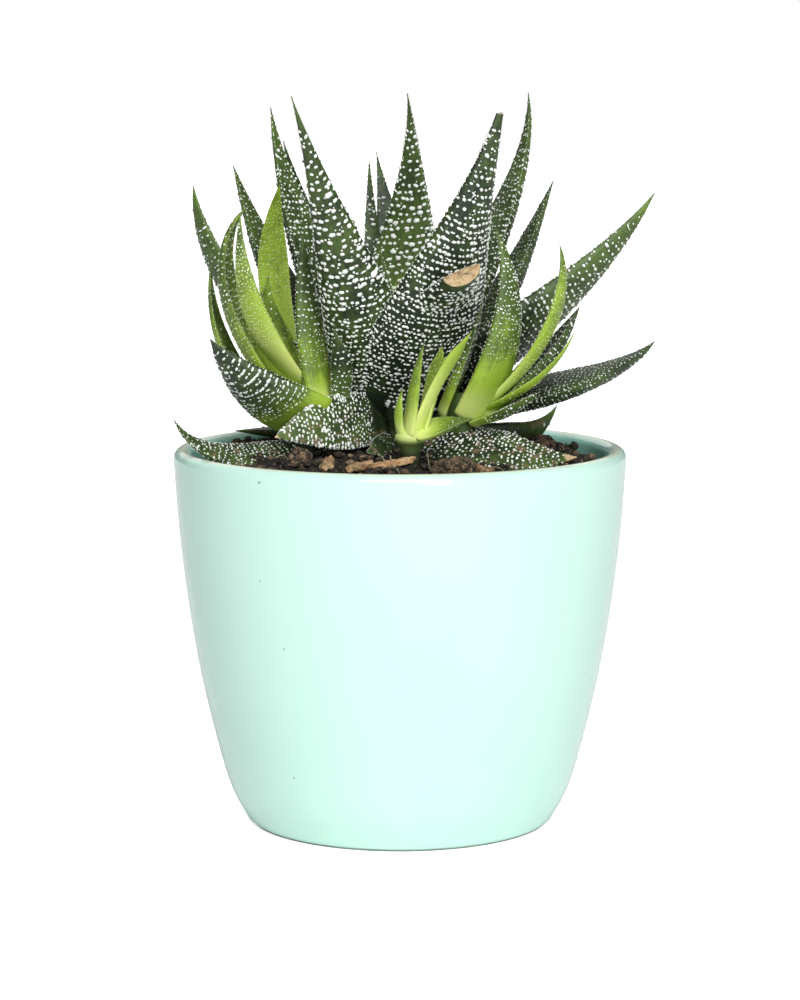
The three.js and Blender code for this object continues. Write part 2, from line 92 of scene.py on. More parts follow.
def turned(radii, heights, turns, middle=(0.0, 0.0)):
    """A skin turned about a vertical axis: x = radius*cos(angle), y = radius*sin(angle), z = height.
    The first and last entries are single points on the axis."""
    angle = np.linspace(0, 2 * np.pi, turns, endpoint=False)
    x = middle[0] + np.outer(radii[1:-1], np.cos(angle))
    y = middle[1] + np.outer(radii[1:-1], np.sin(angle))
    z = np.repeat(heights[1:-1, None], turns, 1)
    rings = np.stack([x, y, z], -1).reshape(-1, 3)
    points = np.vstack([[*middle, heights[0]], rings, [*middle, heights[-1]]])
    return points, *tube_faces(len(radii) - 2, turns)


def make_piece(name, points, quads, triangles, finish, slot, stands_for=(), marks=None):
    """Makes one mesh object from points in millimetres. marks holds one number a point under each name. A
    skin whose volume, the sum of a.(b x c) over the corners of its triangles, is negative is turned out."""
    a, b, c = (points[triangles[:, i]] for i in range(3))
    volume = np.einsum("ij,ij->", a, np.cross(b, c))
    for side in ((0, 1, 2), (0, 2, 3)):
        a, b, c = (points[quads[:, i]] for i in side)
        volume += np.einsum("ij,ij->", a, np.cross(b, c))
    if volume < 0:
        quads, triangles = quads[:, ::-1], triangles[:, ::-1]
    corners = np.concatenate([quads.ravel(), triangles.ravel()]).astype(np.int32)
    starts = np.concatenate([np.arange(len(quads)) * 4, quads.size + np.arange(len(triangles)) * 3])
    mesh = bpy.data.meshes.new(name)
    mesh.vertices.add(len(points))
    mesh.vertices.foreach_set("co", (points * MM).astype(np.float32).ravel())
    mesh.loops.add(len(corners))
    mesh.loops.foreach_set("vertex_index", corners)
    mesh.polygons.add(len(starts))
    mesh.polygons.foreach_set("loop_start", starts.astype(np.int32))
    mesh.polygons.foreach_set("use_smooth", np.ones(len(starts), bool))
    mesh.materials.append(finish)
    for mark, values in (marks or {}).items():
        layer = mesh.attributes.new(mark, "FLOAT", "POINT")
        layer.data.foreach_set("value", values.astype(np.float32))
    mesh.update(calc_edges=True)
    piece = bpy.data.objects.new(name, mesh)
    bpy.context.scene.collection.objects.link(piece)
    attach(piece, "root")
    if stands_for:
        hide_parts(*stands_for)


def srgb(red, green, blue):
    """A colour given as 0 to 255 numbers, as the linear colour that a shader takes."""
    share = np.array([red, green, blue]) / 255
    linear = np.where(share <= 0.04045, share / 12.92, ((share + 0.055) / 1.055) ** 2.4)
    return (*linear.tolist(), 1.0)


class Finish:
    """One procedural material, written as a chain of shader nodes."""

    def __init__(self, name):
        self.material = bpy.data.materials.new(name)
        self.material.use_nodes = True
        self.tree = self.material.node_tree
        self.shader = self.tree.nodes["Principled BSDF"]
        self.place = self.tree.nodes.new("ShaderNodeTexCoord").outputs["Object"]

    def join(self, value, socket):
        """Links socket to the socket given as value, or sets a plain value on it."""
        if isinstance(value, bpy.types.NodeSocket):
            self.tree.links.new(value, socket)
        else:
            socket.default_value = value

    def noise(self, size, detail=3.0, roughness=0.55, stretch=(1, 1, 1), place=None):
        """Cloudy noise with lumps about size millimetres across, drawn out by stretch."""
        turn = self.tree.nodes.new("ShaderNodeMapping")
        self.join(self.place if place is None else place, turn.inputs["Vector"])
        turn.inputs["Scale"].default_value = [1 / (size * MM * pull) for pull in stretch]
        cloud = self.tree.nodes.new("ShaderNodeTexNoise")
        self.join(turn.outputs["Vector"], cloud.inputs["Vector"])
        cloud.inputs["Scale"].default_value = 1.0
        cloud.inputs["Detail"].default_value = detail
        cloud.inputs["Roughness"].default_value = roughness
        return cloud.outputs["Fac"]

    def away_from(self, point):
        """Distance in metres to one point, given in millimetres."""
        span = self.tree.nodes.new("ShaderNodeVectorMath")
        span.operation = "DISTANCE"
        self.join(self.place, span.inputs[0])
        span.inputs[1].default_value = [length * MM for length in point]
        return span.outputs["Value"]

    def streaks(self, across, along):
        """Noise drawn out lengthwise: across and along are how often it changes over a whole leaf."""
        both = self.tree.nodes.new("ShaderNodeCombineXYZ")
        self.join(self.times(self.mark("across"), across), both.inputs["X"])
        self.join(self.times(self.mark("along"), along), both.inputs["Y"])
        cloud = self.tree.nodes.new("ShaderNodeTexNoise")
        self.join(both.outputs[0], cloud.inputs["Vector"])
        cloud.inputs["Scale"].default_value = 1.0
        return cloud.outputs["Fac"]

    def mark(self, name):
        """The number that each point of the mesh carries under that name."""
        layer = self.tree.nodes.new("ShaderNodeAttribute")
        layer.attribute_name = name
        return layer.outputs["Fac"]

    def height(self):
        """Height in metres over the surface that the pot stands on."""
        parts = self.tree.nodes.new("ShaderNodeSeparateXYZ")
        self.join(self.place, parts.inputs[0])
        return parts.outputs["Z"]

    def ramp(self, value, low, high, out_low=0.0, out_high=1.0):
        """Carries value from the span low..high to out_low..out_high along a smooth step."""
        span = self.tree.nodes.new("ShaderNodeMapRange")
        span.interpolation_type = "SMOOTHSTEP"
        self.join(value, span.inputs["Value"])
        span.inputs["From Min"].default_value = low
        span.inputs["From Max"].default_value = high
        span.inputs["To Min"].default_value = out_low
        span.inputs["To Max"].default_value = out_high
        return span.outputs["Result"]

    def reckon(self, kind, first, second):
        """Two values put together by one step of arithmetic."""
        step = self.tree.nodes.new("ShaderNodeMath")
        step.operation = kind
        self.join(first, step.inputs[0])
        self.join(second, step.inputs[1])
        return step.outputs[0]

    def times(self, first, second):
        """The product of two values."""
        return self.reckon("MULTIPLY", first, second)

    def plus(self, first, second):
        """The sum of two values."""
        return self.reckon("ADD", first, second)

    def blend(self, share, under, over):
        """The colour under, with share of the colour over laid on it."""
        both = self.tree.nodes.new("ShaderNodeMix")
        both.data_type = "RGBA"
        self.join(share, both.inputs["Factor"])
        self.join(under, both.inputs["A"])
        self.join(over, both.inputs["B"])
        return both.outputs["Result"]

    def bump(self, height, depth, under=None):
        """Relief of the given depth in millimetres, on top of the relief under it."""
        relief = self.tree.nodes.new("ShaderNodeBump")
        self.join(height, relief.inputs["Height"])
        relief.inputs["Distance"].default_value = depth * MM
        if under is not None:
            self.join(under, relief.inputs["Normal"])
        return relief.outputs["Normal"]

    def paint(self, **sockets):
        """Sets or links the shader's sockets, each under its name, and returns the finished material."""
        for name, value in sockets.items():
            self.join(value, self.shader.inputs[name.replace("_", " ").title().replace("Ior", "IOR")])
        return self.material


GLAZE_MINT = srgb(193, 229, 216)
GLAZE_POOLED = srgb(183, 225, 211)
# Darker, greener glaze inside the cup: painted shade and bounced light
GLAZE_INSIDE_SHADE = srgb(164, 226, 208)
GLAZE_THIN = srgb(218, 228, 202)
# Dark teal of the painted shadow just above the foot
GLAZE_FOOT_SHADOW = srgb(108, 140, 128)
BISQUE = srgb(190, 178, 158)
SPECK = srgb(110, 136, 122)
# Bearing in degrees from the front, height and size of each dark speck in the glaze
SPECKS = [
    (-35.9, 72.6, 0.4), (-37.4, 53.6, 0.26), (-31.7, 40.7, 0.28), (-34.1, 14.6, 0.32),
    (70, 31, 0.3), (104, 60, 0.35), (151, 43, 0.3), (206, 22, 0.35), (263, 66, 0.3),
]
# Depth of the thin glaze on the crest, and the heights over the foot at which the painted shadow, a dark
# line for the shade under the foot's rounded edge, and the bare ware under it begin and are full
CREST_DEPTH = 0.4
FOOT_SHADOW_BEGINS = 0.75
FOOT_SHADOW_FULL = 0.3
BARE_BEGINS = 0.12
BARE_FULL = 0.05
GLAZE_ROUGHNESS = 0.1
BISQUE_ROUGHNESS = 0.8
outer_wall = through(WALL, WALL_STEPS)


def mint_glaze():
    """Mint glaze: pooled a little darker in soft clouds, darker and greener inside the cup as painted shade,
    thin and creamy on the lip's crest, with dark specks and, where it ends above the foot, a dark line of
    painted shadow; the foot is bare biscuit ware underneath."""
    glaze = Finish("mint_glaze")
    clouds = glaze.ramp(glaze.noise(26, 2), 0.35, 0.7)
    colour = glaze.blend(glaze.times(clouds, 0.3), GLAZE_MINT, GLAZE_POOLED)
    # Painted shade: inside the cup the glaze is darker and greener, for its shade and the light bounced
    # between its walls.
    colour = glaze.blend(glaze.mark("inside"), colour, GLAZE_INSIDE_SHADE)
    crest = glaze.ramp(glaze.height(), (POT_HEIGHT - CREST_DEPTH) * MM, POT_HEIGHT * MM)
    colour = glaze.blend(glaze.times(crest, 0.8), colour, GLAZE_THIN)
    for bearing, height, size in SPECKS:
        radius = float(np.interp(height, outer_wall[:, 1], outer_wall[:, 0]))
        bearing = math.radians(bearing)
        away = glaze.away_from((radius * math.sin(bearing), -radius * math.cos(bearing), height))
        colour = glaze.blend(glaze.ramp(away, size * MM, 0.4 * size * MM, 0, 0.75), colour, SPECK)
    # Painted shadow: a dark line just above the foot, where the foot's rounded edge is in shade.
    roll = glaze.ramp(glaze.height(), FOOT_SHADOW_BEGINS * MM, FOOT_SHADOW_FULL * MM)
    colour = glaze.blend(roll, colour, GLAZE_FOOT_SHADOW)
    low = (BARE_BEGINS * MM, BARE_FULL * MM)
    colour = glaze.blend(glaze.ramp(glaze.height(), *low), colour, BISQUE)
    wavy = glaze.bump(glaze.noise(9, 2), 0.05)
    relief = glaze.bump(glaze.noise(0.9, 2), 0.004, wavy)
    gloss = glaze.ramp(glaze.height(), *low, GLAZE_ROUGHNESS, BISQUE_ROUGHNESS)
    return glaze.paint(base_color=colour, roughness=gloss, normal=relief)


lip_angle = np.radians(np.arange(LIP_STEP, 180, LIP_STEP))
lip = np.stack([
    RIM_RADIUS - POT_WALL / 2 + POT_WALL / 2 * np.cos(lip_angle),
    POT_HEIGHT - LIP_ROUND + LIP_ROUND * np.sin(lip_angle),
], -1)
above_floor = outer_wall[outer_wall[:, 1] > 2 * POT_FLOOR][::-1]
inner_wall = above_floor - [POT_WALL, 0]
floor_radius = np.interp(POT_FLOOR, WALL[:, 1], WALL[:, 0]) - POT_WALL
floor_corner = np.array([
    (floor_radius - INSIDE_CORNER / 4, POT_FLOOR + INSIDE_CORNER / 3),
    (floor_radius - INSIDE_CORNER, POT_FLOOR),
])
foot_edge = np.array([
    (0, 0),
    (FOOT_RADIUS - UNDERSIDE_RING, 0),
    (FOOT_RADIUS - FOOT_BEVEL_WIDTH, 0),
    (FOOT_RADIUS, FOOT_BEVEL_HEIGHT),
])
outline = np.vstack([foot_edge, outer_wall, lip, inner_wall, floor_corner, (0, POT_FLOOR)])
first_inside = len(foot_edge) + len(outer_wall) + len(lip) - LIP_RINGS_INSIDE
past_crest = np.arange(len(outline)) >= first_inside
inside = np.concatenate([[0], np.repeat(past_crest[1:-1], POT_TURNS), [1]])
make_piece("pot_glazed", *turned(outline[:, 0], outline[:, 1], POT_TURNS), mint_glaze(), "glazed_pot",
           ["pot"], {"inside": inside})

# The soil: a dark, open potting mix of crumbled bark and humus that fills the pot to just under the lip.
# It is tipped in by hand, so it heaps a little round the plant, falls away at the wall and lies in crumbs.
SOIL_TOP = 74.4
SOIL_EDGE_DROP = 3.6
SOIL_FLAT_RADIUS = 32.0
MOUND_HEIGHT = 1.8
MOUND_TOP_RADIUS = 6.0
MOUND_RADIUS = 26.0
LUMP_HEIGHT = 0.6
LUMP_WAVES = (7.2, 8.3, 4.5)
LUMP_DIAGONAL = 0.6
SIDE_SLACK = 0.35
FLOOR_SLACK = 0.3
SIDE_ENDS_BELOW = 1.0
SOIL_RINGS = 84
SOIL_TURNS = 200
# Cell size and rise of each layer of crumbs, and how many cells there are before their draws come again
COBBLE_SIZES = ((2.6, 0.75), (1.3, 0.45), (0.7, 0.22))
COBBLE_CELLS = 64
COBBLE_SEED = 11
COBBLE_LEAST = 0.45
COBBLE_SPAN = 0.4
WALL_AT_SOIL = float(np.interp(SOIL_TOP - SOIL_EDGE_DROP, WALL[:, 1], WALL[:, 0])) - POT_WALL


def smooth_step(value, low, high):
    """0 up to low, 1 from high on, and 3t^2 - 2t^3 between them, where t runs from 0 to 1."""
    t = np.clip((value - low) / (high - low), 0, 1)
    return t * t * (3 - 2 * t)


def soil_height(x, y):
    """Height of the soil under its crumbs: flat, heaped in the middle and falling to the wall, with low
    lumps of sin(x)*cos(y) and a diagonal sine wave."""
    r = np.hypot(x, y)
    fall = smooth_step(r, SOIL_FLAT_RADIUS, WALL_AT_SOIL)
    across, along, diagonal = (2 * np.pi / wave for wave in LUMP_WAVES)
    lump = np.sin(x * across) * np.cos(y * along) + LUMP_DIAGONAL * np.sin((x + y) * diagonal)
    mound = MOUND_HEIGHT * (1 - smooth_step(r, MOUND_TOP_RADIUS, MOUND_RADIUS))
    return SOIL_TOP + mound - SOIL_EDGE_DROP * fall + LUMP_HEIGHT * lump


def cobbles(x, y, size, seed):
    """Crumbs packed side by side, 0 between them and up to 1 on top: each cell of a square grid holds one
    crumb at a random place. The height is the largest of sqrt(1 - (distance/radius)^2) over the near cells,
    and a crumb with a wider radius, of 0.45 to 0.85 of a cell, stands up to twice as high."""
    draw = np.random.default_rng(seed).random((COBBLE_CELLS, COBBLE_CELLS, 3))
    cell_x, cell_y = np.floor(x / size).astype(int), np.floor(y / size).astype(int)
    height = np.zeros_like(x)
    for step_x in (-1, 0, 1):
        for step_y in (-1, 0, 1):
            crumb = draw[(cell_x + step_x) % COBBLE_CELLS, (cell_y + step_y) % COBBLE_CELLS]
            away_x = (cell_x + step_x + crumb[..., 0]) * size - x
            away_y = (cell_y + step_y + crumb[..., 1]) * size - y
            radius = size * (COBBLE_LEAST + COBBLE_SPAN * crumb[..., 2])
            dome = 1 - (away_x**2 + away_y**2) / radius**2
            height = np.maximum(height, np.sqrt(np.clip(dome, 0, 1)) * (0.5 + 0.5 * crumb[..., 2]))
    return height


SOIL_BLACK = srgb(17, 17, 13)
SOIL_BROWN = srgb(96, 78, 62)
SOIL_TAN = srgb(172, 146, 112)
SOIL_GREY = srgb(118, 124, 104)


def humus():
    """Damp black-brown humus with lighter, drier crumbs and flecks of tan bark and grey grit."""
    mix = Finish("humus")
    dry = mix.ramp(mix.noise(1.4, 4, 0.75), 0.58, 0.8)
    colour = mix.blend(dry, SOIL_BLACK, SOIL_BROWN)
    flecks = mix.ramp(mix.noise(0.4, 3, 0.7), 0.58, 0.68)
    colour = mix.blend(mix.times(flecks, 0.6), colour, SOIL_TAN)
    grit = mix.ramp(mix.noise(0.55, 2, 0.7), 0.62, 0.7)
    colour = mix.blend(mix.times(grit, 0.5), colour, SOIL_GREY)
    relief = mix.bump(mix.noise(0.4, 4, 0.75), 0.4)
    return mix.paint(base_color=colour, roughness=0.95, normal=relief)


top_radii = np.linspace(0, WALL_AT_SOIL - SIDE_SLACK, SOIL_RINGS)
side_ends = SOIL_TOP - SOIL_EDGE_DROP - SIDE_ENDS_BELOW
beside = outer_wall[(outer_wall[:, 1] > 2 * POT_FLOOR) & (outer_wall[:, 1] < side_ends)]
soil_radii = np.concatenate([
    [0, floor_radius - INSIDE_CORNER],
    beside[:, 0] - POT_WALL - SIDE_SLACK,
    top_radii[::-1],
])
soil_heights = np.concatenate([[POT_FLOOR + FLOOR_SLACK] * 2, beside[:, 1], np.full(SOIL_RINGS, SOIL_TOP)])
points, quads, triangles = turned(soil_radii, soil_heights, SOIL_TURNS)
on_top = points[:, 2] >= SOIL_TOP
x, y = points[on_top, 0], points[on_top, 1]
crumbly = soil_height(x, y)
for number, (size, rise) in enumerate(COBBLE_SIZES):
    crumbly = crumbly + rise * (cobbles(x, y, size, COBBLE_SEED + number) - 0.5)
points[on_top, 2] = crumbly
make_piece("soil_bed", points, quads, triangles, humus(), "soil", ["soil"])

# Loose granules on the soil: crumbs of bark and humus, about 0.6 to 2.4 mm across, that lie where they
# fell when the pot was filled.
GRANULES = 1500
GRANULE_SEED = 5
GRANULE_RINGS = 3
GRANULE_SIDES = 7
# Smallest radius, span up to the largest, and how much rarer the large ones are
GRANULE_SMALLEST = 0.3
GRANULE_SPAN = 0.9
GRANULE_RARITY = 2.2
GRANULE_KNOCKS = (-0.28, 0.22)
GRANULE_LEAST_SQUASH = (0.8, 0.6, 0.5)
GRANULE_MOST_SQUASH = (1.35, 1.0, 0.8)
GRANULE_LIFT = 0.55
WALL_TO_GRANULES = 1.6


def ball_skin(rings, sides):
    """Points and faces of a ball of radius 1: rings at sin(tilt)*cos(turn), sin(tilt)*sin(turn), cos(tilt),
    with a pole at each end."""
    tilt = np.pi * np.arange(1, rings + 1) / (rings + 1)
    turn = 2 * np.pi * np.arange(sides) / sides
    ring = np.stack([
        np.outer(np.sin(tilt), np.cos(turn)),
        np.outer(np.sin(tilt), np.sin(turn)),
        np.repeat(np.cos(tilt)[:, None], sides, 1),
    ], -1).reshape(-1, 3)
    return np.vstack([(0, 0, 1), ring, (0, 0, -1)]), *tube_faces(rings, sides)


def copied_faces(quads, triangles, copies, points_each):
    """The faces of one small skin, once for each of its copies, whose points follow one another."""
    start = np.arange(copies)[:, None, None] * points_each
    return (quads[None] + start).reshape(-1, 4), (triangles[None] + start).reshape(-1, 3)


def scattered_granules(count, seed):
    """Rough crumbs: each is a ball whose points are knocked in or out at random, squashed by its own three
    radii, turned about the vertical and laid on the soil with its underside in it."""
    draw = np.random.default_rng(seed)
    ball, quads, triangles = ball_skin(GRANULE_RINGS, GRANULE_SIDES)
    knocked = ball[None] * (1 + draw.uniform(*GRANULE_KNOCKS, (count, len(ball), 1)))
    size = GRANULE_SMALLEST + GRANULE_SPAN * draw.random(count) ** GRANULE_RARITY
    squash = draw.uniform(GRANULE_LEAST_SQUASH, GRANULE_MOST_SQUASH, (count, 3))
    knocked = knocked * (size[:, None] * squash)[:, None, :]
    heading = draw.uniform(0, 2 * np.pi, count)[:, None]
    x = knocked[..., 0] * np.cos(heading) - knocked[..., 1] * np.sin(heading)
    y = knocked[..., 0] * np.sin(heading) + knocked[..., 1] * np.cos(heading)
    reach = (WALL_AT_SOIL - WALL_TO_GRANULES) * np.sqrt(draw.random(count))
    bearing = draw.uniform(0, 2 * np.pi, count)
    place_x, place_y = reach * np.cos(bearing), reach * np.sin(bearing)
    lift = soil_height(place_x, place_y) + GRANULE_LIFT * size
    points = np.stack([x + place_x[:, None], y + place_y[:, None], knocked[..., 2] + lift[:, None]], -1)
    tone = np.repeat(draw.random(count), len(ball))
    return points.reshape(-1, 3), *copied_faces(quads, triangles, count, len(ball)), tone


def crumbled_bark():
    """Granules of bark and humus, each of its own brown, with a rough, dusty surface."""
    crumb = Finish("crumbled_bark")
    tone = crumb.mark("tone")
    colour = crumb.blend(crumb.ramp(tone, 0.4, 0.8), SOIL_BLACK, SOIL_BROWN)
    colour = crumb.blend(crumb.ramp(tone, 0.84, 0.98), colour, SOIL_TAN)
    dusty = crumb.ramp(crumb.noise(0.35, 4, 0.75), 0.5, 0.66, 0, 0.6)
    colour = crumb.blend(dusty, colour, SOIL_TAN)
    pitted = crumb.ramp(crumb.noise(0.45, 3, 0.7), 0.5, 0.4, 0, 0.85)
    colour = crumb.blend(pitted, colour, SOIL_BLACK)
    relief = crumb.bump(crumb.noise(0.28, 4, 0.75), 0.3)
    return crumb.paint(base_color=colour, roughness=0.95, normal=relief)


points, quads, triangles, tone = scattered_granules(GRANULES, GRANULE_SEED)
granule_finish = crumbled_bark()
make_piece("soil_granules", points, quads, triangles, granule_finish, "soil", marks={"tone": tone})

# The stems: short and fleshy, rooted in the soil and hidden by the leaves that they carry. Each is
# ringed with the pale scars of leaves that it has shed.
MAIN_AXIS = (0.0, 3.0)
LEFT_AXIS = (-18.0, -10.0)
RIGHT_AXIS = (12.0, -12.0)
FRONT_AXIS = (2.0, -27.0)
STEMS = {
    "main_stem": (MAIN_AXIS, [(3, 58), (7, 64), (8, 72), (8, 79), (6.5, 84), (4, 88)]),
    "left_offset_stem": (LEFT_AXIS, [(1.5, 64), (2.2, 68), (2.4, 79), (3, 84), (2, 87)]),
    "right_offset_stem": (RIGHT_AXIS, [(1.5, 64), (2.2, 68), (2.4, 79), (3, 84), (2, 87)]),
    "front_offset_stem": (FRONT_AXIS, [(1.2, 66), (1.6, 70), (1.7, 76), (2.2, 78.2), (3, 80.1), (1.4, 82.4)]),
}
STEM_STEPS = 10
STEM_TURNS = 40
SCAR_DEPTH = 0.05
SCAR_PITCH = 1.6
STEM_GREEN = srgb(64, 88, 34)
STEM_SCAR = srgb(76, 88, 44)
# Dark green-brown of the painted shade low on the stems
STEM_LOW_SHADE = srgb(36, 40, 26)
STEM_PALE = srgb(184, 200, 118)
# Heights at which the painted shade low on a stem, near the soil, begins and is full, and its top colour
# begins and is full
LOW_SHADE_BEGINS = 78.4
LOW_SHADE_FULL = 76.6
TOP_BEGINS = 78.9
TOP_FULL = 79.9


def stem_skin(name, top):
    """Green skin, ringed by paler leaf scars that circle the stem, with painted shade that darkens it low
    down near the soil, and of the colour top under the leaves."""
    skin = Finish(name)
    rings = skin.noise(1.1, 1, stretch=(12, 12, 1))
    colour = skin.blend(skin.ramp(rings, 0.45, 0.7), STEM_GREEN, STEM_SCAR)
    # Painted shade: the stem darkens towards the soil, under the leaves.
    low_shade = skin.ramp(skin.height(), LOW_SHADE_BEGINS * MM, LOW_SHADE_FULL * MM, 0, 0.85)
    colour = skin.blend(low_shade, colour, STEM_LOW_SHADE)
    colour = skin.blend(skin.ramp(skin.height(), TOP_BEGINS * MM, TOP_FULL * MM), colour, top)
    relief = skin.bump(rings, 0.2)
    return skin.paint(base_color=colour, roughness=0.6, normal=relief)


old_stem = stem_skin("old_stem_skin", STEM_GREEN)
young_stem = stem_skin("young_stem_skin", STEM_PALE)
for name, (axis, profile) in STEMS.items():
    side = through(np.array(profile, float), STEM_STEPS)
    side[:, 0] = side[:, 0] + SCAR_DEPTH * np.sin(2 * np.pi * side[:, 1] / SCAR_PITCH)
    radii = np.concatenate([[0], side[:, 0], [0]])
    heights = np.concatenate([[side[0, 1]], side[:, 1], [side[-1, 1]]])
    stem_finish = young_stem if axis == FRONT_AXIS else old_stem
    make_piece(f"{name}_ringed", *turned(radii, heights, STEM_TURNS, axis), stem_finish, "stem", [name])

# The leaves: thick, pointed and stemless, in spirals round each axis. The outer side of each is bellied
# and the inner side nearly flat. White, chalky tubercles stand on both in rows across the leaf.
WIDEST_AT = 0.35
FOOT_WIDTH = 0.72
FULLNESS = 1.5
OUTER_BULGE = 0.26
BULGE_POWER = 0.75
INNER_SETTLES = 0.25
TAPER_WAVE = 0.2
TAPER_SLOPE = 0.6
TIP_WIDTH = 0.012
ROUND_FOOT = 1.5
WAVER = 0.03
SPINE_STEPS = 120
LEAF_AROUND = 30


def taper(leaf, s):
    """Width of a leaf as a share of its widest: a sine rise from the foot, then half a cosine wave and a
    slope that both reach nought at the tip. A fuller leaf keeps its width longer."""
    s = s * (1 - leaf.get("cut", 0))
    widest, foot = leaf.get("widest", WIDEST_AT), leaf.get("broad", FOOT_WIDTH)
    rise = foot + (1 - foot) * np.sin(np.pi / 2 * np.minimum(s / widest, 1))
    past = np.clip((s - widest) / (1 - widest), 0, 1)
    slope = TAPER_SLOPE * (1 - past ** leaf.get("full", FULLNESS))
    return rise * (TAPER_WAVE * (1 + np.cos(np.pi * past)) + slope)


def leaf_frame(leaf, s):
    """Directions along, across and outward at shares s of the length. The heading turns evenly, the lean
    from upright bends from foot to tip, and the last two directions are rolled about the first."""
    heading = np.radians(leaf["points"] + leaf["turn"] * s)
    foot_lean, tip_lean = leaf["lean"]
    lean = np.radians(foot_lean + (tip_lean - foot_lean) * s ** leaf.get("bend", 1))
    level = np.zeros_like(heading)
    along = np.stack([np.sin(lean) * np.cos(heading), np.sin(lean) * np.sin(heading), np.cos(lean)], -1)
    across = np.stack([-np.sin(heading), np.cos(heading), level], -1)
    outward = np.cross(across, along)
    roll = math.radians(leaf["roll"])
    rolled_across = across * math.cos(roll) - outward * math.sin(roll)
    rolled_outward = outward * math.cos(roll) + across * math.sin(roll)
    return along, rolled_across, rolled_outward


def leaf_spine(leaf, axis, reach):
    """Points down the middle of a leaf: the direction along, added up in short steps from its foot."""
    heading = math.radians(leaf["points"])
    reach = leaf.get("reach", reach)
    foot = [axis[0] + reach * math.cos(heading), axis[1] + reach * math.sin(heading), leaf["foot"]]
    middles = (np.arange(SPINE_STEPS) + 0.5) / SPINE_STEPS
    along, _, _ = leaf_frame(leaf, middles)
    return np.vstack([foot, foot + np.cumsum(along, 0) * leaf["length"] / SPINE_STEPS])


def leaf_point(leaf, spine, s, angle):
    """Points on a leaf's skin: spine + across*halfwidth*cos(angle) + outward*bulge*sin(angle), with the
    bellied bulge on the outer side (angle 0 to pi) and the flat one on the inner side. The bulge wavers a
    little, and the foot is rounded off by a quarter circle."""
    steps = np.linspace(0, 1, SPINE_STEPS + 1)
    middle = np.stack([np.interp(s, steps, spine[:, i]) for i in range(3)], -1)
    _, across, outward = leaf_frame(leaf, s)
    rounded = np.clip(s * leaf["length"] / ROUND_FOOT, 0, 1)
    share = np.maximum(taper(leaf, s) * np.sqrt(rounded * (2 - rounded)), TIP_WIDTH)
    lift = np.sin(angle)
    settled = smooth_step(s, 0.0, INNER_SETTLES)
    inner_bulge = leaf["inner"] * (1 - settled) + leaf["inner_tip"] * settled
    bulge = np.where(lift > 0, OUTER_BULGE, inner_bulge) * leaf["width"] * share**BULGE_POWER
    half_width = leaf["width"] / 2 * share
    wave = 1 + WAVER * np.sin(9 * s + 3 * np.cos(angle) + leaf["points"])
    sideways = across * (half_width * np.cos(angle))[..., None]
    return middle + sideways + outward * (bulge * wave * lift)[..., None]


# Share of the way round half an ellipse, for each angle, so that beads can be set evenly across a leaf
BELLY_FLATNESS = 0.55
HALF_DEGREE = 0.0087
half_angle = np.linspace(0, np.pi, 181)
middle_angle = half_angle[:-1] + HALF_DEGREE
half_step = np.hypot(np.sin(middle_angle), BELLY_FLATNESS * np.cos(middle_angle))
half_way = np.concatenate([[0], np.cumsum(half_step)])
half_way = half_way / half_way[-1]

BEADS_BEGIN = 0.015
BEADS_END = 0.985
ROW_STATIONS = 400
# Half the way over a leaf's skin on its outer and its inner side, as a share of its width
OUTER_ARC = 0.6
INNER_ARC = 0.51
# Share of a gap that stays bare at the margin
BARE_MARGIN = 0.15
# Where the beads thin out towards the end, and the shares of them that are left there and at a pointed tip
THINS_FROM = 0.85
THINNED_COVER = 0.95
TIP_COVER = 0.6
# How far beads stray: in their row as a share of its gap, lengthwise in millimetres, in size and in turn
STRAY_IN_ROW = 0.17
STRAY_LENGTHWISE = 0.12
STRAY_SIZE = 0.2
STRAY_TURN = 0.2
# Half-length of a dash as a share of the gap
DASH_LENGTH = 0.62
# How far specks stray, in millimetres and in gaps, their share of a bead's size, and how long they are
SPECK_STRAY = 0.15
SPECK_REACH = 0.7
SPECK_SIZES = (0.35, 0.65)
SPECK_LENGTH = 1.15
# Height of the wave in a row of beads, and its pace from row to row and across the leaf
ROW_WAVE = 0.18
WAVE_BY_ROW = 1.3
WAVE_ACROSS = 4


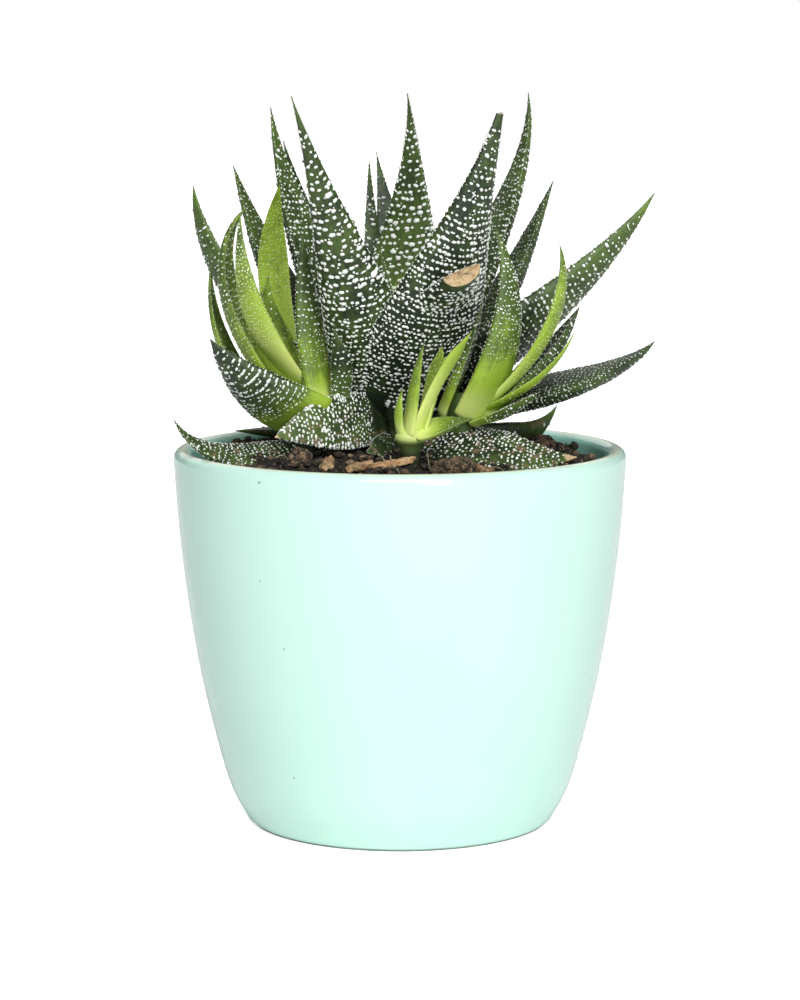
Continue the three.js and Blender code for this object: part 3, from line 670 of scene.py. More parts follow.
def bead_places(leaf, beads, outer, draw):
    """Places of the tubercles on one side of a leaf, as share of length, angle, half-size across and along,
    and turn. The pitch of the rows, the gap between beads in a row and the size of a bead each follow a
    profile from foot to tip. Every second row starts half a gap on, and all beads are moved about at random.
    Some run on into a dash, and specks fill in between. A row bows towards the foot in its middle and
    waves a little."""
    length, width = leaf["length"], leaf["width"]

    def profile(name, s):
        """A measure of the beads at share s of the length."""
        return np.interp(s, beads["at"], np.broadcast_to(beads[name], len(beads["at"])))

    station = np.linspace(beads["first" if outer else "first_inside"], BEADS_END, ROW_STATIONS)
    step = (station[1] - station[0]) * length
    counted = np.cumsum(step / profile("rows", station))
    row_at = np.interp(np.arange(1, int(counted[-1])), counted, station)
    reach = int(width / np.min(beads["gaps"])) + 1
    row, column = np.meshgrid(np.arange(len(row_at)), np.arange(-reach, reach + 1), indexing="ij")
    row, column = row.ravel(), column.ravel()
    s = row_at[row]
    gap = profile("gaps", s)
    half_arc = width * taper(leaf, s) * (OUTER_ARC if outer else INNER_ARC)
    off = (column + 0.5 * (row % 2) + draw.normal(0, STRAY_IN_ROW, len(row))) * gap
    end_cover = 1 if "cut" in leaf else TIP_COVER
    thinned = np.interp(s, [0, THINS_FROM, 1], [1, THINNED_COVER, end_cover])
    on_leaf = np.abs(off) < half_arc - BARE_MARGIN * gap
    keep = on_leaf & (draw.random(len(row)) < beads["cover"] * thinned)
    s, gap, off, half_arc, row = s[keep], gap[keep], off[keep], half_arc[keep], row[keep]
    high = profile("sizes", s) * np.exp(draw.normal(0, STRAY_SIZE, len(s)))
    wide = high * draw.uniform(1.0, beads["long"] * 2 - 1.0, len(s))
    wide = np.where(draw.random(len(s)) < beads["dashes"], np.maximum(wide, DASH_LENGTH * gap), wide)

    specks = int(len(s) * beads["specks"])
    pick = draw.integers(0, len(s), specks)
    aside = draw.choice([-0.5, 0.5], specks) * profile("rows", s[pick])
    s = np.concatenate([s, s[pick] + (aside + draw.normal(0, SPECK_STRAY, specks)) / length])
    off = np.concatenate([off, off[pick] + draw.uniform(-SPECK_REACH, SPECK_REACH, specks) * gap[pick]])
    half_arc = np.concatenate([half_arc, half_arc[pick]])
    row = np.concatenate([row, row[pick]])
    tiny = high[pick] * draw.uniform(*SPECK_SIZES, specks)
    high, wide = np.concatenate([high, tiny]), np.concatenate([wide, tiny * SPECK_LENGTH])

    way = 0.5 + off / (2 * half_arc)
    angle = np.interp(np.clip(way, 0.03, 0.97), half_way, half_angle)
    x = np.cos(angle)
    bow = beads["bow"] * (x**2 - 0.5) + ROW_WAVE * np.sin(WAVE_BY_ROW * row + WAVE_ACROSS * x)
    s = s + (bow + draw.normal(0, STRAY_LENGTHWISE, len(s))) / length
    s = np.clip(s, BEADS_BEGIN, BEADS_END)
    lean = np.arctan2(-2 * beads["bow"] * x, half_arc)
    turn = lean * (1 if outer else -1) + draw.normal(0, STRAY_TURN, len(s))
    if not outer:
        angle = 2 * np.pi - angle
    return np.stack([s, angle, wide, high, turn], -1)


# Where the teeth of the margins begin and end, the share of the length that they are counted over, and
# their angle from the margin itself
TEETH_BEGIN = 0.12
TEETH_END = 0.97
TEETH_SHARE = 0.86
TEETH_ANGLE = 0.02
TEETH_STRAY = 0.004
# Random share of size, share of size at three shares of the length, and length of a tooth to its width
TOOTH_SIZES = (0.7, 1.2)
TOOTH_PROFILE = ((0.1, 0.5, 1), (0.8, 1, 0.7))
TOOTH_LENGTH = 1.25


def margin_places(leaf, beads, draw):
    """Small teeth of tubercle down both margins of a leaf, in even steps but for a slight stray, largest in
    the middle."""
    count = int(leaf["length"] * TEETH_SHARE / beads["teeth"])
    s = np.linspace(TEETH_BEGIN, TEETH_END, count) + draw.normal(0, TEETH_STRAY, count)
    s = np.clip(s, BEADS_BEGIN, BEADS_END)
    size = beads["tooth"] * draw.uniform(*TOOTH_SIZES, count) * np.interp(s, *TOOTH_PROFILE)
    turn = draw.normal(0, STRAY_TURN, count)
    margins = [
        np.stack([s, np.full(count, angle), size, TOOTH_LENGTH * size, turn], -1)
        for angle in (TEETH_ANGLE, np.pi - TEETH_ANGLE)
    ]
    return np.vstack(margins)


BEAD_SIDES = 5
# Radius and height of each ring of a dome, and the depth of the point that closes it under the skin
BEAD_RINGS = ((0.66, 0.76), (1.0, 0.1))
BEAD_SUNK = -0.6
# Rise of a dome as a share of its half-size, the least rise in millimetres, and how deep the dome is set
BEAD_RISE = 0.62
BEAD_LEAST_RISE = 0.05
BEAD_SET_IN = 0.05
# How white a dome is at its crown, at its upper and lower ring and at the sunk point
BEAD_WHITES = (1.0, 1.0, 0.35, 0.0)
# Steps along and round a leaf that give the directions of its skin
NEAR_ALONG = 0.004
NEAR_ROUND = 0.02


def bead_skins(leaf, spine, places):
    """Tubercles as low domes on a leaf: two rings and a crown over a point sunk in the skin, stretched
    across the leaf, turned a little and lifted along the skin's own normal."""
    s, angle, half_across, half_along, turn = places.T
    at = leaf_point(leaf, spine, s, angle)
    ahead, behind = np.minimum(s + NEAR_ALONG, 1), s - NEAR_ALONG
    along = leaf_point(leaf, spine, ahead, angle) - leaf_point(leaf, spine, behind, angle)
    around = leaf_point(leaf, spine, s, angle + NEAR_ROUND) - leaf_point(leaf, spine, s, angle - NEAR_ROUND)
    along /= np.linalg.norm(along, axis=1, keepdims=True)
    normal = np.cross(along, around)
    normal /= np.linalg.norm(normal, axis=1, keepdims=True)
    _, _, outward = leaf_frame(leaf, s)
    normal *= np.sign(np.einsum("ij,ij->i", normal, outward) * np.sin(angle + 1e-3))[:, None]
    around = np.cross(normal, along)
    wide = around * np.cos(turn)[:, None] + along * np.sin(turn)[:, None]
    high = along * np.cos(turn)[:, None] - around * np.sin(turn)[:, None]
    spoke = 2 * np.pi * np.arange(BEAD_SIDES) / BEAD_SIDES
    flat = [(r * np.cos(spoke), r * np.sin(spoke), np.full(BEAD_SIDES, z)) for r, z in BEAD_RINGS]
    ring = np.concatenate([np.stack(level, -1) for level in flat])
    dome = np.vstack([(0, 0, 1), ring, (0, 0, BEAD_SUNK)])
    rise = BEAD_RISE * half_along + BEAD_LEAST_RISE
    points = at[:, None] - BEAD_SET_IN * rise[:, None, None] * normal[:, None]
    points = points + dome[None, :, :1] * (half_across[:, None] * wide)[:, None]
    points = points + dome[None, :, 1:2] * (half_along[:, None] * high)[:, None]
    points = points + dome[None, :, 2:] * (rise[:, None] * normal)[:, None]
    faces = copied_faces(*tube_faces(len(BEAD_RINGS), BEAD_SIDES), len(s), len(dome))
    crown, upper, lower, sunk = BEAD_WHITES
    white = np.tile([crown] + [upper] * BEAD_SIDES + [lower] * BEAD_SIDES + [sunk], len(s))
    return points.reshape(-1, 3), *faces, white, len(dome)


RINGS_OVER = 8
LOWER_CROWDING = 0.25
LAST_RING = 0.998
FOOT_ANGLES = (15, 33, 51, 70, 90)


def ring_shares(leaf, ring_step):
    """Shares of the length at which a leaf has its rings: five along the quarter circle of its foot, then
    even ones, which a pointed leaf has a little closer together in its lower part."""
    share = np.linspace(0, 1, int(leaf["length"] / ring_step) + RINGS_OVER)
    if "cut" not in leaf:
        share = np.minimum(share * (1 - LOWER_CROWDING * share * (1 - share)), LAST_RING)
    foot_share = ROUND_FOOT / leaf["length"]
    foot_rings = foot_share * (1 - np.cos(np.radians(FOOT_ANGLES)))
    return np.concatenate([foot_rings, share[share > 1.2 * foot_share]])


# Size of each ring of a callus as a share of the cut end, and how deep it is sunk
CALLUS_RINGS = ((0.97, -0.25), (0.9, 0.1), (0.72, 0.35), (0.5, 0.2), (0.25, 0.4))
CALLUS_MIDDLE_DEPTH = 0.3
CALLUS_WAVE = 0.05
CALLUS_RAG = 0.04
CALLUS_PITS = 0.2
CALLUS_AT_EDGE = 0.6


def callus_rings(end, along, angle, draw):
    """Rings of the shrunken callus over a cut end: the end's outline drawn in to its middle, with a wavy
    and ragged edge, and sunk along the leaf by its own depth and a random one."""
    middle = end.mean(0)
    rings = []
    for shrink, depth in CALLUS_RINGS:
        ragged = shrink + CALLUS_WAVE * np.sin(5 * angle + 9 * shrink)
        ragged = ragged + CALLUS_RAG * draw.standard_normal(LEAF_AROUND)
        pitted = depth + CALLUS_PITS * draw.standard_normal(LEAF_AROUND)
        rings.append(middle + (end - middle) * ragged[:, None] - along * pitted[:, None])
    return rings


def grow_leaf(name, leaf, axis, look, slot, finish, seed):
    """One leaf as one mesh: its skin, the tubercles on both sides and down its margins, and the callus over
    its end if it was cut. Marks say how bright, pale, dry and white each point is, and where it lies."""
    draw = np.random.default_rng(seed)
    leaf = {"inner": look["inner"][0], "inner_tip": look["inner"][1], **leaf}
    beads = {**look["beads"], **leaf.get("beads", {})}
    spine = leaf_spine(leaf, axis, look["reach"])
    s = ring_shares(leaf, look["ring_step"])
    rings = len(s)
    angle = 2 * np.pi * np.arange(LEAF_AROUND) / LEAF_AROUND
    s_grid, angle_grid = np.repeat(s, LEAF_AROUND), np.tile(angle, rings)
    skin = leaf_point(leaf, spine, s_grid, angle_grid)
    callus = np.zeros(len(skin))
    last = spine[-1]
    if "cut" in leaf:
        end = leaf_point(leaf, spine, np.ones(LEAF_AROUND), angle)
        along = leaf_frame(leaf, np.ones(1))[0][0]
        caps = callus_rings(end, along, angle, draw)
        scar = leaf.get("scar", 1)
        callus[-LEAF_AROUND:] = CALLUS_AT_EDGE * scar
        callus = np.concatenate([callus, np.full(len(caps) * LEAF_AROUND, scar)])
        skin = np.vstack([skin, *caps])
        s_grid = np.concatenate([s_grid, np.ones(len(caps) * LEAF_AROUND)])
        angle_grid = np.concatenate([angle_grid, np.tile(angle, len(caps))])
        last = end.mean(0) - along * CALLUS_MIDDLE_DEPTH
        rings += len(caps)
    points = np.vstack([spine[0], skin, last])
    quads, triangles = tube_faces(rings, LEAF_AROUND)

    places = np.vstack([
        bead_places(leaf, beads, True, draw),
        bead_places(leaf, beads, False, draw),
        margin_places(leaf, beads, draw),
    ])
    domes, dome_quads, dome_triangles, dome_white, dome_size = bead_skins(leaf, spine, places)
    quads = np.vstack([quads, dome_quads + len(points)])
    triangles = np.vstack([triangles, dome_triangles + len(points)])

    lengthwise = np.concatenate([[0], s_grid, [1], np.repeat(places[:, 0], dome_size)])
    across = np.concatenate([[0], np.cos(angle_grid), [0], np.repeat(np.cos(places[:, 1]), dome_size)])
    # Chalk below 1 dims a leaf's tubercles: partly their own dullness, partly painted shade on leaves that
    # lie in shade.
    white = np.concatenate([np.zeros(len(points)), dome_white * leaf.get("chalk", 1)])
    callus = np.concatenate([[0], callus, [callus[-1]], np.zeros(len(domes))])
    foot_green, tip_green = leaf.get("green", look["green"])
    greened = smooth_step(lengthwise, 0.05, leaf.get("greens_by", look["greens_by"]))
    bright = foot_green + (tip_green - foot_green) * greened
    pale_to = leaf.get("pale_to", look["pale_to"])
    pale = 1 - smooth_step(lengthwise, 0.2 * pale_to, pale_to)
    dry_tip = leaf.get("dry_tip", 0)
    dry = np.maximum(smooth_step(lengthwise, 1 - dry_tip, 1), callus) if dry_tip else callus
    marks = {
        "bright": bright, "pale": pale, "dry": dry, "white": white,
        "across": across, "along": lengthwise,
    }
    make_piece(f"{name}_grained", np.vstack([points, domes]), quads, triangles, finish, slot, [name], marks)


def grow_rosette(name, leaves, axis, look, slot, finish, seed):
    """The leaves of one rosette, numbered from 1, each with random draws of its own."""
    for number, leaf in enumerate(leaves, 1):
        grow_leaf(f"{name}_{number:02d}", leaf, axis, look, slot, finish, seed + number)


LEAF_DARK = srgb(30, 43, 28)
LEAF_MID = srgb(76, 98, 43)
LEAF_BRIGHT = srgb(146, 174, 54)
LEAF_PALE = srgb(204, 218, 124)
LEAF_DRY = srgb(200, 177, 137)
LEAF_SCAR = srgb(166, 122, 82)
LEAF_DUST = srgb(126, 104, 82)
PEARL_WHITE = srgb(232, 238, 228)
PEARL_GREEN = srgb(210, 224, 154)
# Heights at which the dust on the low leaves begins and is full
DUST_BEGINS = 85.0
DUST_FULL = 79.0
WAX_SHEEN = 0.35
# How much of the light goes through the flesh, and how deep its red, green and blue go
FLESH_GLOW = 0.12
FLESH_DEPTHS = (0.9, 1.6, 0.5)


def leaf_skin(name, dust):
    """Waxy leaf skin: green by how bright and how pale the leaf is there, in soft clouds and fine lengthwise
    streaks, tan where it is dry, with chalky tubercles on top. Near the soil, a share of dust lies on it."""
    skin = Finish(name)
    clouds = skin.ramp(skin.noise(5, 3), 0.3, 0.7, -0.12, 0.12)
    fine = skin.ramp(skin.noise(0.8, 3, 0.65), 0.3, 0.7, -0.07, 0.07)
    streaks = skin.ramp(skin.streaks(9, 1.6), 0.3, 0.7, -0.08, 0.08)
    mottle = skin.plus(streaks, skin.plus(clouds, fine))
    bright = skin.plus(skin.mark("bright"), mottle)
    colour = skin.blend(skin.ramp(bright, 0.0, 0.5), LEAF_DARK, LEAF_MID)
    colour = skin.blend(skin.ramp(bright, 0.45, 1.0), colour, LEAF_BRIGHT)
    colour = skin.blend(skin.mark("pale"), colour, LEAF_PALE)
    white = skin.ramp(skin.mark("white"), 0.2, 0.8)
    chalk = skin.blend(skin.ramp(skin.mark("bright"), 0.45, 0.9), PEARL_WHITE, PEARL_GREEN)
    colour = skin.blend(white, colour, chalk)
    low = skin.ramp(skin.height(), DUST_BEGINS * MM, DUST_FULL * MM, 0, dust)
    patches = skin.ramp(skin.noise(2.6, 3, 0.65), 0.54, 0.66)
    colour = skin.blend(skin.times(low, patches), colour, LEAF_DUST)
    dry = skin.ramp(skin.plus(skin.mark("dry"), fine), 0.35, 0.6)
    corky = skin.blend(skin.ramp(skin.noise(0.7, 4, 0.7), 0.5, 0.68), LEAF_DRY, LEAF_SCAR)
    colour = skin.blend(dry, colour, corky)
    relief = skin.bump(skin.noise(0.55, 3, 0.6), 0.05)
    relief = skin.bump(skin.times(skin.noise(0.5, 4, 0.7), dry), 0.35, relief)
    gloss = skin.ramp(skin.mark("white"), 0.2, 0.8, 0.5, 0.6)
    skin.shader.inputs["Specular IOR Level"].default_value = WAX_SHEEN
    skin.shader.inputs["Subsurface Weight"].default_value = FLESH_GLOW
    skin.shader.inputs["Subsurface Radius"].default_value = [depth * MM for depth in FLESH_DEPTHS]
    skin.shader.inputs["Subsurface Scale"].default_value = 1.0
    return skin.paint(base_color=colour, roughness=gloss, normal=relief)


# The main rosette: about a dozen long leaves stand and spread, and the older ones lie on the soil. Dark
# green and heavily grained; one short leaf in front and one at the right end in an old cut.

# A look has what its leaves share: how far from the axis they stand, the bulge of the inner side at the
# foot and from a quarter of the length on, the green at foot and tip and where it is reached, how far the
# foot is pale, and the step between rings. Its beads have a pitch of rows, a gap in the row and a half-size
# at each share of the length, where they begin outside and inside, the share that is kept, how long they
# run, the shares of dashes and specks, the bow of a row, and the pitch and half-size of the teeth.
MAIN_LOOK = {
    "reach": 6.0, "inner": (0.08, 0.04), "green": (0.0, 0.45), "greens_by": 1.0,
    "pale_to": 0.03, "ring_step": 0.9,
    "beads": {
        "at": (0, 0.3, 0.5, 0.7, 0.85, 1), "rows": (0.95, 1.1, 1.45, 1.55, 1.45, 1.3),
        "gaps": (0.9, 1.0, 1.25, 1.3, 1.15, 0.95), "sizes": (0.23, 0.28, 0.4, 0.4, 0.33, 0.2),
        "first": 0.08, "first_inside": 0.18, "cover": 0.95, "long": 1.35, "dashes": 0.1,
        "specks": 0.45, "bow": 0.6, "teeth": 1.0, "tooth": 0.2,
    },
}
# A leaf has its heading and the turn of it in degrees, its lean from upright at foot and tip and how late
# it bends, its length and width, the height of its foot, its roll, where it is widest, how full it is and
# how broad at the foot. Cut is the share of a whole leaf that a cut one lacks. Where a leaf and its look
# have the same value, the leaf's own counts.
# A chalk below 1 is partly painted shade: it dims the tubercles of leaves that lie in shade.
MAIN_LEAVES = [
    {"points": 247.5, "turn": -43, "lean": (88, 107), "bend": 2.7, "length": 32, "width": 10.8,
     "foot": 81.5, "roll": -76, "reach": 6.2, "widest": 0.45, "full": 3, "dry_tip": 0.05,
     "chalk": 0.95, "green": (0.1, 0.45),
     "beads": {"rows": 0.8, "gaps": 0.85, "sizes": (0.13, 0.17, 0.25, 0.28, 0.27, 0.22), "long": 1.5,
               "first": 0.22, "first_inside": 0.22, "bow": 0.2}},
    {"points": 288, "turn": 87, "lean": (100, 90), "bend": 0.9, "length": 39, "width": 15.3,
     "foot": 79, "roll": 27, "reach": 9.6, "widest": 0.55, "full": 1.8, "dry_tip": 0.12, "green": (0, 0.32),
     "beads": {"rows": 1.05, "gaps": 0.95, "sizes": 0.25, "long": 1.3, "bow": 0.2}},
    {"points": 220.5, "turn": -34, "lean": (98, 27), "bend": 3.5, "length": 44, "width": 10.3,
     "foot": 77.5, "roll": -25, "reach": 8.6, "widest": 0.55, "full": 1.3,
     "chalk": 0.85, "green": (0, 0.3), "beads": {"rows": 1.0, "gaps": 0.8, "sizes": 0.21}},
    {"points": 262.5, "turn": -11, "lean": (94.5, 87), "bend": 1.1, "length": 26, "width": 4.8,
     "foot": 77.5, "roll": -48, "reach": 4.2, "widest": 0.5, "full": 1.8, "chalk": 0.6, "green": (0, 0.3),
     "beads": {"rows": 1.1, "gaps": 0.95, "sizes": 0.17, "cover": 0.6}},
    # Painted light: this leaf lies in shade, and its green is set higher so that it shows lighter.
    {"points": 170, "turn": 0, "lean": (85, 96), "length": 28, "width": 12, "foot": 77.5, "roll": 0,
     "green": (0.35, 0.45), "beads": {"cover": 0.08, "tooth": 0.1}},
    {"points": 12, "turn": 7, "lean": (117, 35), "bend": 1.4, "length": 29, "width": 13.5,
     "foot": 79, "roll": -38, "reach": 6.6, "widest": 0.5, "full": 1.3, "beads": {"cover": 0.06}},
    {"points": 295.5, "turn": -10, "lean": (2, 79), "length": 45.5, "width": 19.6, "foot": 79.5,
     "roll": 21, "cut": 0.26, "widest": 0.35, "full": 1.1, "green": (0, 0.2),
     "beads": {"rows": 1.3, "gaps": 1.25, "sizes": 0.35, "long": 1.35, "bow": 1.4, "specks": 0.3}},
    {"points": 249.5, "turn": -20, "lean": (45.5, 25), "bend": 0.5, "length": 73, "width": 18.2,
     "foot": 82.5, "roll": 18, "reach": 3.4, "widest": 0.2, "full": 0.9, "green": (0.15, 0.3)},
    {"points": 346, "turn": -12, "lean": (78, 52), "bend": 3.5, "length": 49, "width": 14.1,
     "foot": 82.5, "roll": 16, "widest": 0.45, "full": 2.6,
     "chalk": 0.6, "green": (0, 0.25),
     "beads": {"rows": 1.0, "gaps": 1.0, "sizes": 0.18, "long": 1.6, "bow": 0.3}},
    {"points": 282, "turn": 53, "lean": (35, 17), "bend": 1.6, "length": 67, "width": 23.8,
     "foot": 82, "roll": 2, "reach": 3.2, "cut": 0.08, "widest": 0.3, "full": 1.1,
     "scar": 0.45, "green": (0, 0.18),
     "beads": {"rows": (1.0, 1.05, 1.1, 1.2, 1.9, 1.5), "gaps": (0.95, 1.0, 1.0, 1.1, 1.2, 0.8),
               "sizes": (0.25, 0.28, 0.3, 0.34, 0.36, 0.26), "dashes": 0.16, "cover": 1, "first": 0.13}},
    {"points": -1, "turn": 7, "lean": (53.5, 35.5), "bend": 2.7, "length": 65, "width": 16.9,
     "foot": 82.5, "roll": -37, "reach": 2, "widest": 0.2, "full": 2.3, "chalk": 0.78, "green": (0, 0.5),
     "beads": {"sizes": (0.22, 0.26, 0.34, 0.34, 0.28, 0.18)}},
    {"points": 164.5, "turn": 23, "lean": (51.5, 8.5), "bend": 2.2, "length": 60, "width": 15.8,
     "foot": 80.5, "roll": 16, "reach": 5.6, "widest": 0.45, "full": 2,
     "chalk": 0.75, "beads": {"rows": 1.5, "gaps": 1.2, "sizes": 0.27}},
    {"points": 149.5, "turn": 1, "lean": (50, 23), "bend": 0.7, "length": 60, "width": 15,
     "foot": 81, "roll": 5, "widest": 0.4, "full": 1.5, "chalk": 0.7,
     "beads": {"rows": 1.4, "gaps": 1.15, "sizes": 0.24}},
    {"points": 34, "turn": -4, "lean": (41, 28.5), "bend": 0.7, "length": 55.5, "width": 15.3,
     "foot": 81, "roll": -13, "reach": 6.4, "full": 1.6, "chalk": 0.55, "green": (0, 0.25),
     "beads": {"rows": 1.2, "gaps": 1.1, "sizes": 0.2}},
    {"points": 149.5, "turn": 8, "lean": (29, 9.5), "bend": 2.4, "length": 65, "width": 16.3,
     "foot": 82.5, "roll": -4, "reach": 3.8, "full": 1.2, "chalk": 0.9,
     "beads": {"rows": 1.35, "gaps": 1.2, "sizes": 0.3}},
    {"points": 58.5, "turn": -39, "lean": (37, -3), "bend": 3.5, "length": 71.5, "width": 14.8,
     "foot": 83, "roll": -7, "reach": 4.4, "full": 1.8, "chalk": 0.7,
     "beads": {"rows": 1.35, "gaps": 1.15, "sizes": 0.26}},
    {"points": 75, "turn": 0, "lean": (74, 44), "length": 46, "width": 15, "foot": 79, "roll": 0},
    {"points": 112, "turn": 0, "lean": (72, 40), "length": 48, "width": 15, "foot": 79, "roll": 0},
    {"points": 138, "turn": 0, "lean": (86, 62), "length": 42, "width": 14, "foot": 78, "roll": 0},
    {"points": 60, "turn": 6, "lean": (90, 64), "length": 43, "width": 13.5, "foot": 77.5, "roll": 0},
    {"points": 96, "turn": -5, "lean": (92, 66), "length": 42, "width": 13.5, "foot": 77.5, "roll": 0},
    {"points": 138.5, "turn": 0, "lean": (31, 20), "length": 60, "width": 13.1, "foot": 81,
     "roll": -4, "full": 1.3, "chalk": 0.7, "green": (0, 0.25)},
    # Partly painted light: this leaf's pale green foot lies in shade, and its green and pale are set high to
    # show it bright.
    {"points": 94, "turn": -38, "lean": (38, -14), "bend": 1.5, "length": 66, "width": 18.1,
     "foot": 84, "roll": -12, "reach": 4, "full": 0.9,
     "green": (1.4, 0.3), "greens_by": 0.6, "pale_to": 0.25,
     "beads": {"rows": 1.55, "gaps": (1.5, 1.5, 1.5, 1.35, 1.15, 1),
               "sizes": (0.4, 0.45, 0.46, 0.42, 0.34, 0.2)}},
    # Painted shade: these two back leaves face up into the key light, and their green is set low so that they
    # show dark.
    {"points": 84, "turn": 38, "lean": (69.5, 17), "bend": 0.6, "length": 62.5, "width": 11.7,
     "foot": 83.5, "roll": -15, "reach": 9.4, "full": 1.4, "chalk": 0.55, "green": (0, 0.2),
     "beads": {"cover": 0.4}},
    {"points": 97, "turn": 9, "lean": (67.5, 2), "bend": 0.9, "length": 62, "width": 7.7,
     "foot": 82, "roll": 3, "reach": 6.6, "widest": 0.25, "full": 1.8, "chalk": 0.6, "green": (0, 0.25),
     "beads": {"cover": 0.5}},
    {"points": 235, "turn": 0, "lean": (12, 6), "length": 30, "width": 9, "foot": 85, "roll": 0, "reach": 2},
    {"points": 40, "turn": 0, "lean": (14, 4), "length": 26, "width": 9, "foot": 86, "roll": 0, "reach": 2},
]
main_finish = leaf_skin("grained_leaf_skin", 0.7)
grow_rosette("main_leaf", MAIN_LEAVES, MAIN_AXIS, MAIN_LOOK, "main_leaf", main_finish, 100)

# The offsets at the left and right: young rosettes on stems of their own. Their leaves are bright
# yellow-green, pale at the foot, and carry much finer tubercles than the old leaves do.
OFFSET_LOOK = {
    "reach": 2.4, "inner": (0.06, -0.03), "green": (1.0, 0.4), "greens_by": 0.7,
    "pale_to": 0.2, "ring_step": 0.8,
    "beads": {
        "at": (0, 0.4, 0.6, 0.8, 1), "rows": (0.9, 0.95, 1.2, 1.5, 1.4),
        "gaps": (0.8, 0.85, 0.95, 1.05, 1.0), "sizes": (0.11, 0.15, 0.19, 0.22, 0.16),
        "first": 0.26, "first_inside": 0.34, "cover": 0.85, "long": 1.3, "dashes": 0.06,
        "specks": 0.3, "bow": 0.5, "teeth": 0.7, "tooth": 0.12,
    },
}
LEFT_LEAVES = [
    {"points": 214.5, "turn": 1, "lean": (64.5, 41.5), "bend": 1.6, "length": 27.5, "width": 19.5,
     "foot": 83, "roll": 16, "reach": -0.4, "widest": 0.1, "full": 2.1, "broad": 0.6,
     "green": (1.1, 0.15), "greens_by": 0.6, "pale_to": 0.05,
     "beads": {"rows": (0.9, 0.95, 1.15, 1.25, 1.2), "gaps": 0.95, "sizes": (0.12, 0.18, 0.27, 0.28, 0.22),
               "long": 1.7, "dashes": 0.2}},
    {"points": 320.5, "turn": -6, "lean": (-23.5, -1.5), "bend": 0.6, "length": 36, "width": 7.6,
     "foot": 82.5, "roll": -1, "reach": 4.6, "widest": 0.3, "full": 2.9, "broad": 1,
     "green": (0.82, 0.34), "greens_by": 0.8,
     "beads": {"rows": (0.9, 0.95, 1.6, 1.9, 1.8), "gaps": 0.9, "sizes": (0.12, 0.15, 0.24, 0.27, 0.2)}},
    {"points": 218, "turn": 0, "lean": (52, -4.5), "length": 38, "width": 7.3, "foot": 89,
     "roll": 6, "reach": 1, "full": 1.8, "broad": 0.5,
     "green": (1.35, 0.6), "greens_by": 0.95, "pale_to": 0.55,
     "beads": {"first": 0.3, "rows": 0.75, "gaps": 0.68, "sizes": (0.1, 0.12, 0.16, 0.17, 0.13), "cover": 1,
               "specks": 0.7}},
    {"points": 179, "turn": -13, "lean": (31.5, -44), "bend": 3.1, "length": 44.5, "width": 12.3,
     "foot": 82.5, "roll": 1, "reach": 1.8, "widest": 0.4, "full": 2.3, "green": (1.0, 0.6), "chalk": 0.8},
    {"points": 334, "turn": -112, "lean": (2, 25.5), "bend": 0.5, "length": 23, "width": 4.1,
     "foot": 78.5, "roll": 4, "reach": 6, "widest": 0.6, "full": 1.9, "green": (0.8, 0.2)},
    {"points": 115.5, "turn": -2, "lean": (40.5, -35), "bend": 1.8, "length": 48.5, "width": 6.7,
     "foot": 83.5, "roll": 2, "widest": 0.6, "full": 2.2, "green": (1.3, 0.84),
     "beads": {"first_inside": 0.25, "rows": 0.9, "gaps": 0.7, "sizes": 0.13, "cover": 1, "bow": 0.2}},
    {"points": 162, "turn": 0, "lean": (64.5, -1.5), "bend": 0.9, "length": 37.5, "width": 9,
     "foot": 81, "roll": 5, "full": 1.7, "green": (1.0, 0.6), "beads": {"cover": 0.25}},
    {"points": 147.5, "turn": 2, "lean": (35, -13), "bend": 1.8, "length": 27.5, "width": 10.6,
     "foot": 84.5, "roll": -10, "reach": 0.8, "widest": 0.5, "full": 1, "green": (1.0, 0.65),
     "beads": {"cover": 0.3}},
]
RIGHT_LEAVES = [
    {"points": 321.5, "turn": 4, "lean": (35, -25), "bend": 1.4, "length": 38.5, "width": 12.7,
     "foot": 83, "roll": 4, "reach": 1.6, "widest": 0.15, "full": 2.4, "broad": 0.9,
     "pale_to": 0.25, "green": (1.0, 0.45), "chalk": 0.85,
     "beads": {"first": 0.36, "rows": 0.85, "gaps": 0.75, "sizes": (0.1, 0.12, 0.17, 0.2, 0.16),
               "specks": 0.4}},
    {"points": 324.5, "turn": -13, "lean": (69.5, 69), "length": 18, "width": 8, "foot": 82,
     "roll": 14, "widest": 0.45, "full": 1.6},
    {"points": 344.5, "turn": -11, "lean": (46.5, -11.5), "bend": 2.1, "length": 39.5, "width": 8.2,
     "foot": 83, "roll": 11, "reach": 1.8, "widest": 0.55, "full": 2, "green": (1.4, 0.6), "greens_by": 1,
     "pale_to": 0.55, "chalk": 0.8, "beads": {"rows": 0.85, "gaps": 0.75, "sizes": 0.14}},
    {"points": 331, "turn": 2, "lean": (66, 23), "bend": 2.1, "length": 29.5, "width": 4.7,
     "foot": 83, "roll": 4, "reach": 1.6, "widest": 0.3, "full": 1.5, "green": (1.2, 0.9),
     "beads": {"cover": 0.4}},
    {"points": 3, "turn": 2, "lean": (50, 36), "bend": 1.1, "length": 30, "width": 10.3,
     "foot": 82, "roll": 1, "widest": 0.65, "full": 1.7, "green": (0.9, 0.25)},
    {"points": 165.5, "turn": -8, "lean": (-28.5, -9.5), "length": 23.5, "width": 8.7, "foot": 82,
     "roll": 9, "reach": 3.6, "widest": 0.25, "full": 1.5},
]
young_finish = leaf_skin("young_leaf_skin", 0.0)
grow_rosette("left_offset_leaf", LEFT_LEAVES, LEFT_AXIS, OFFSET_LOOK, "offset_leaf", young_finish, 200)
grow_rosette("right_offset_leaf", RIGHT_LEAVES, RIGHT_AXIS, OFFSET_LOOK, "offset_leaf", young_finish, 300)

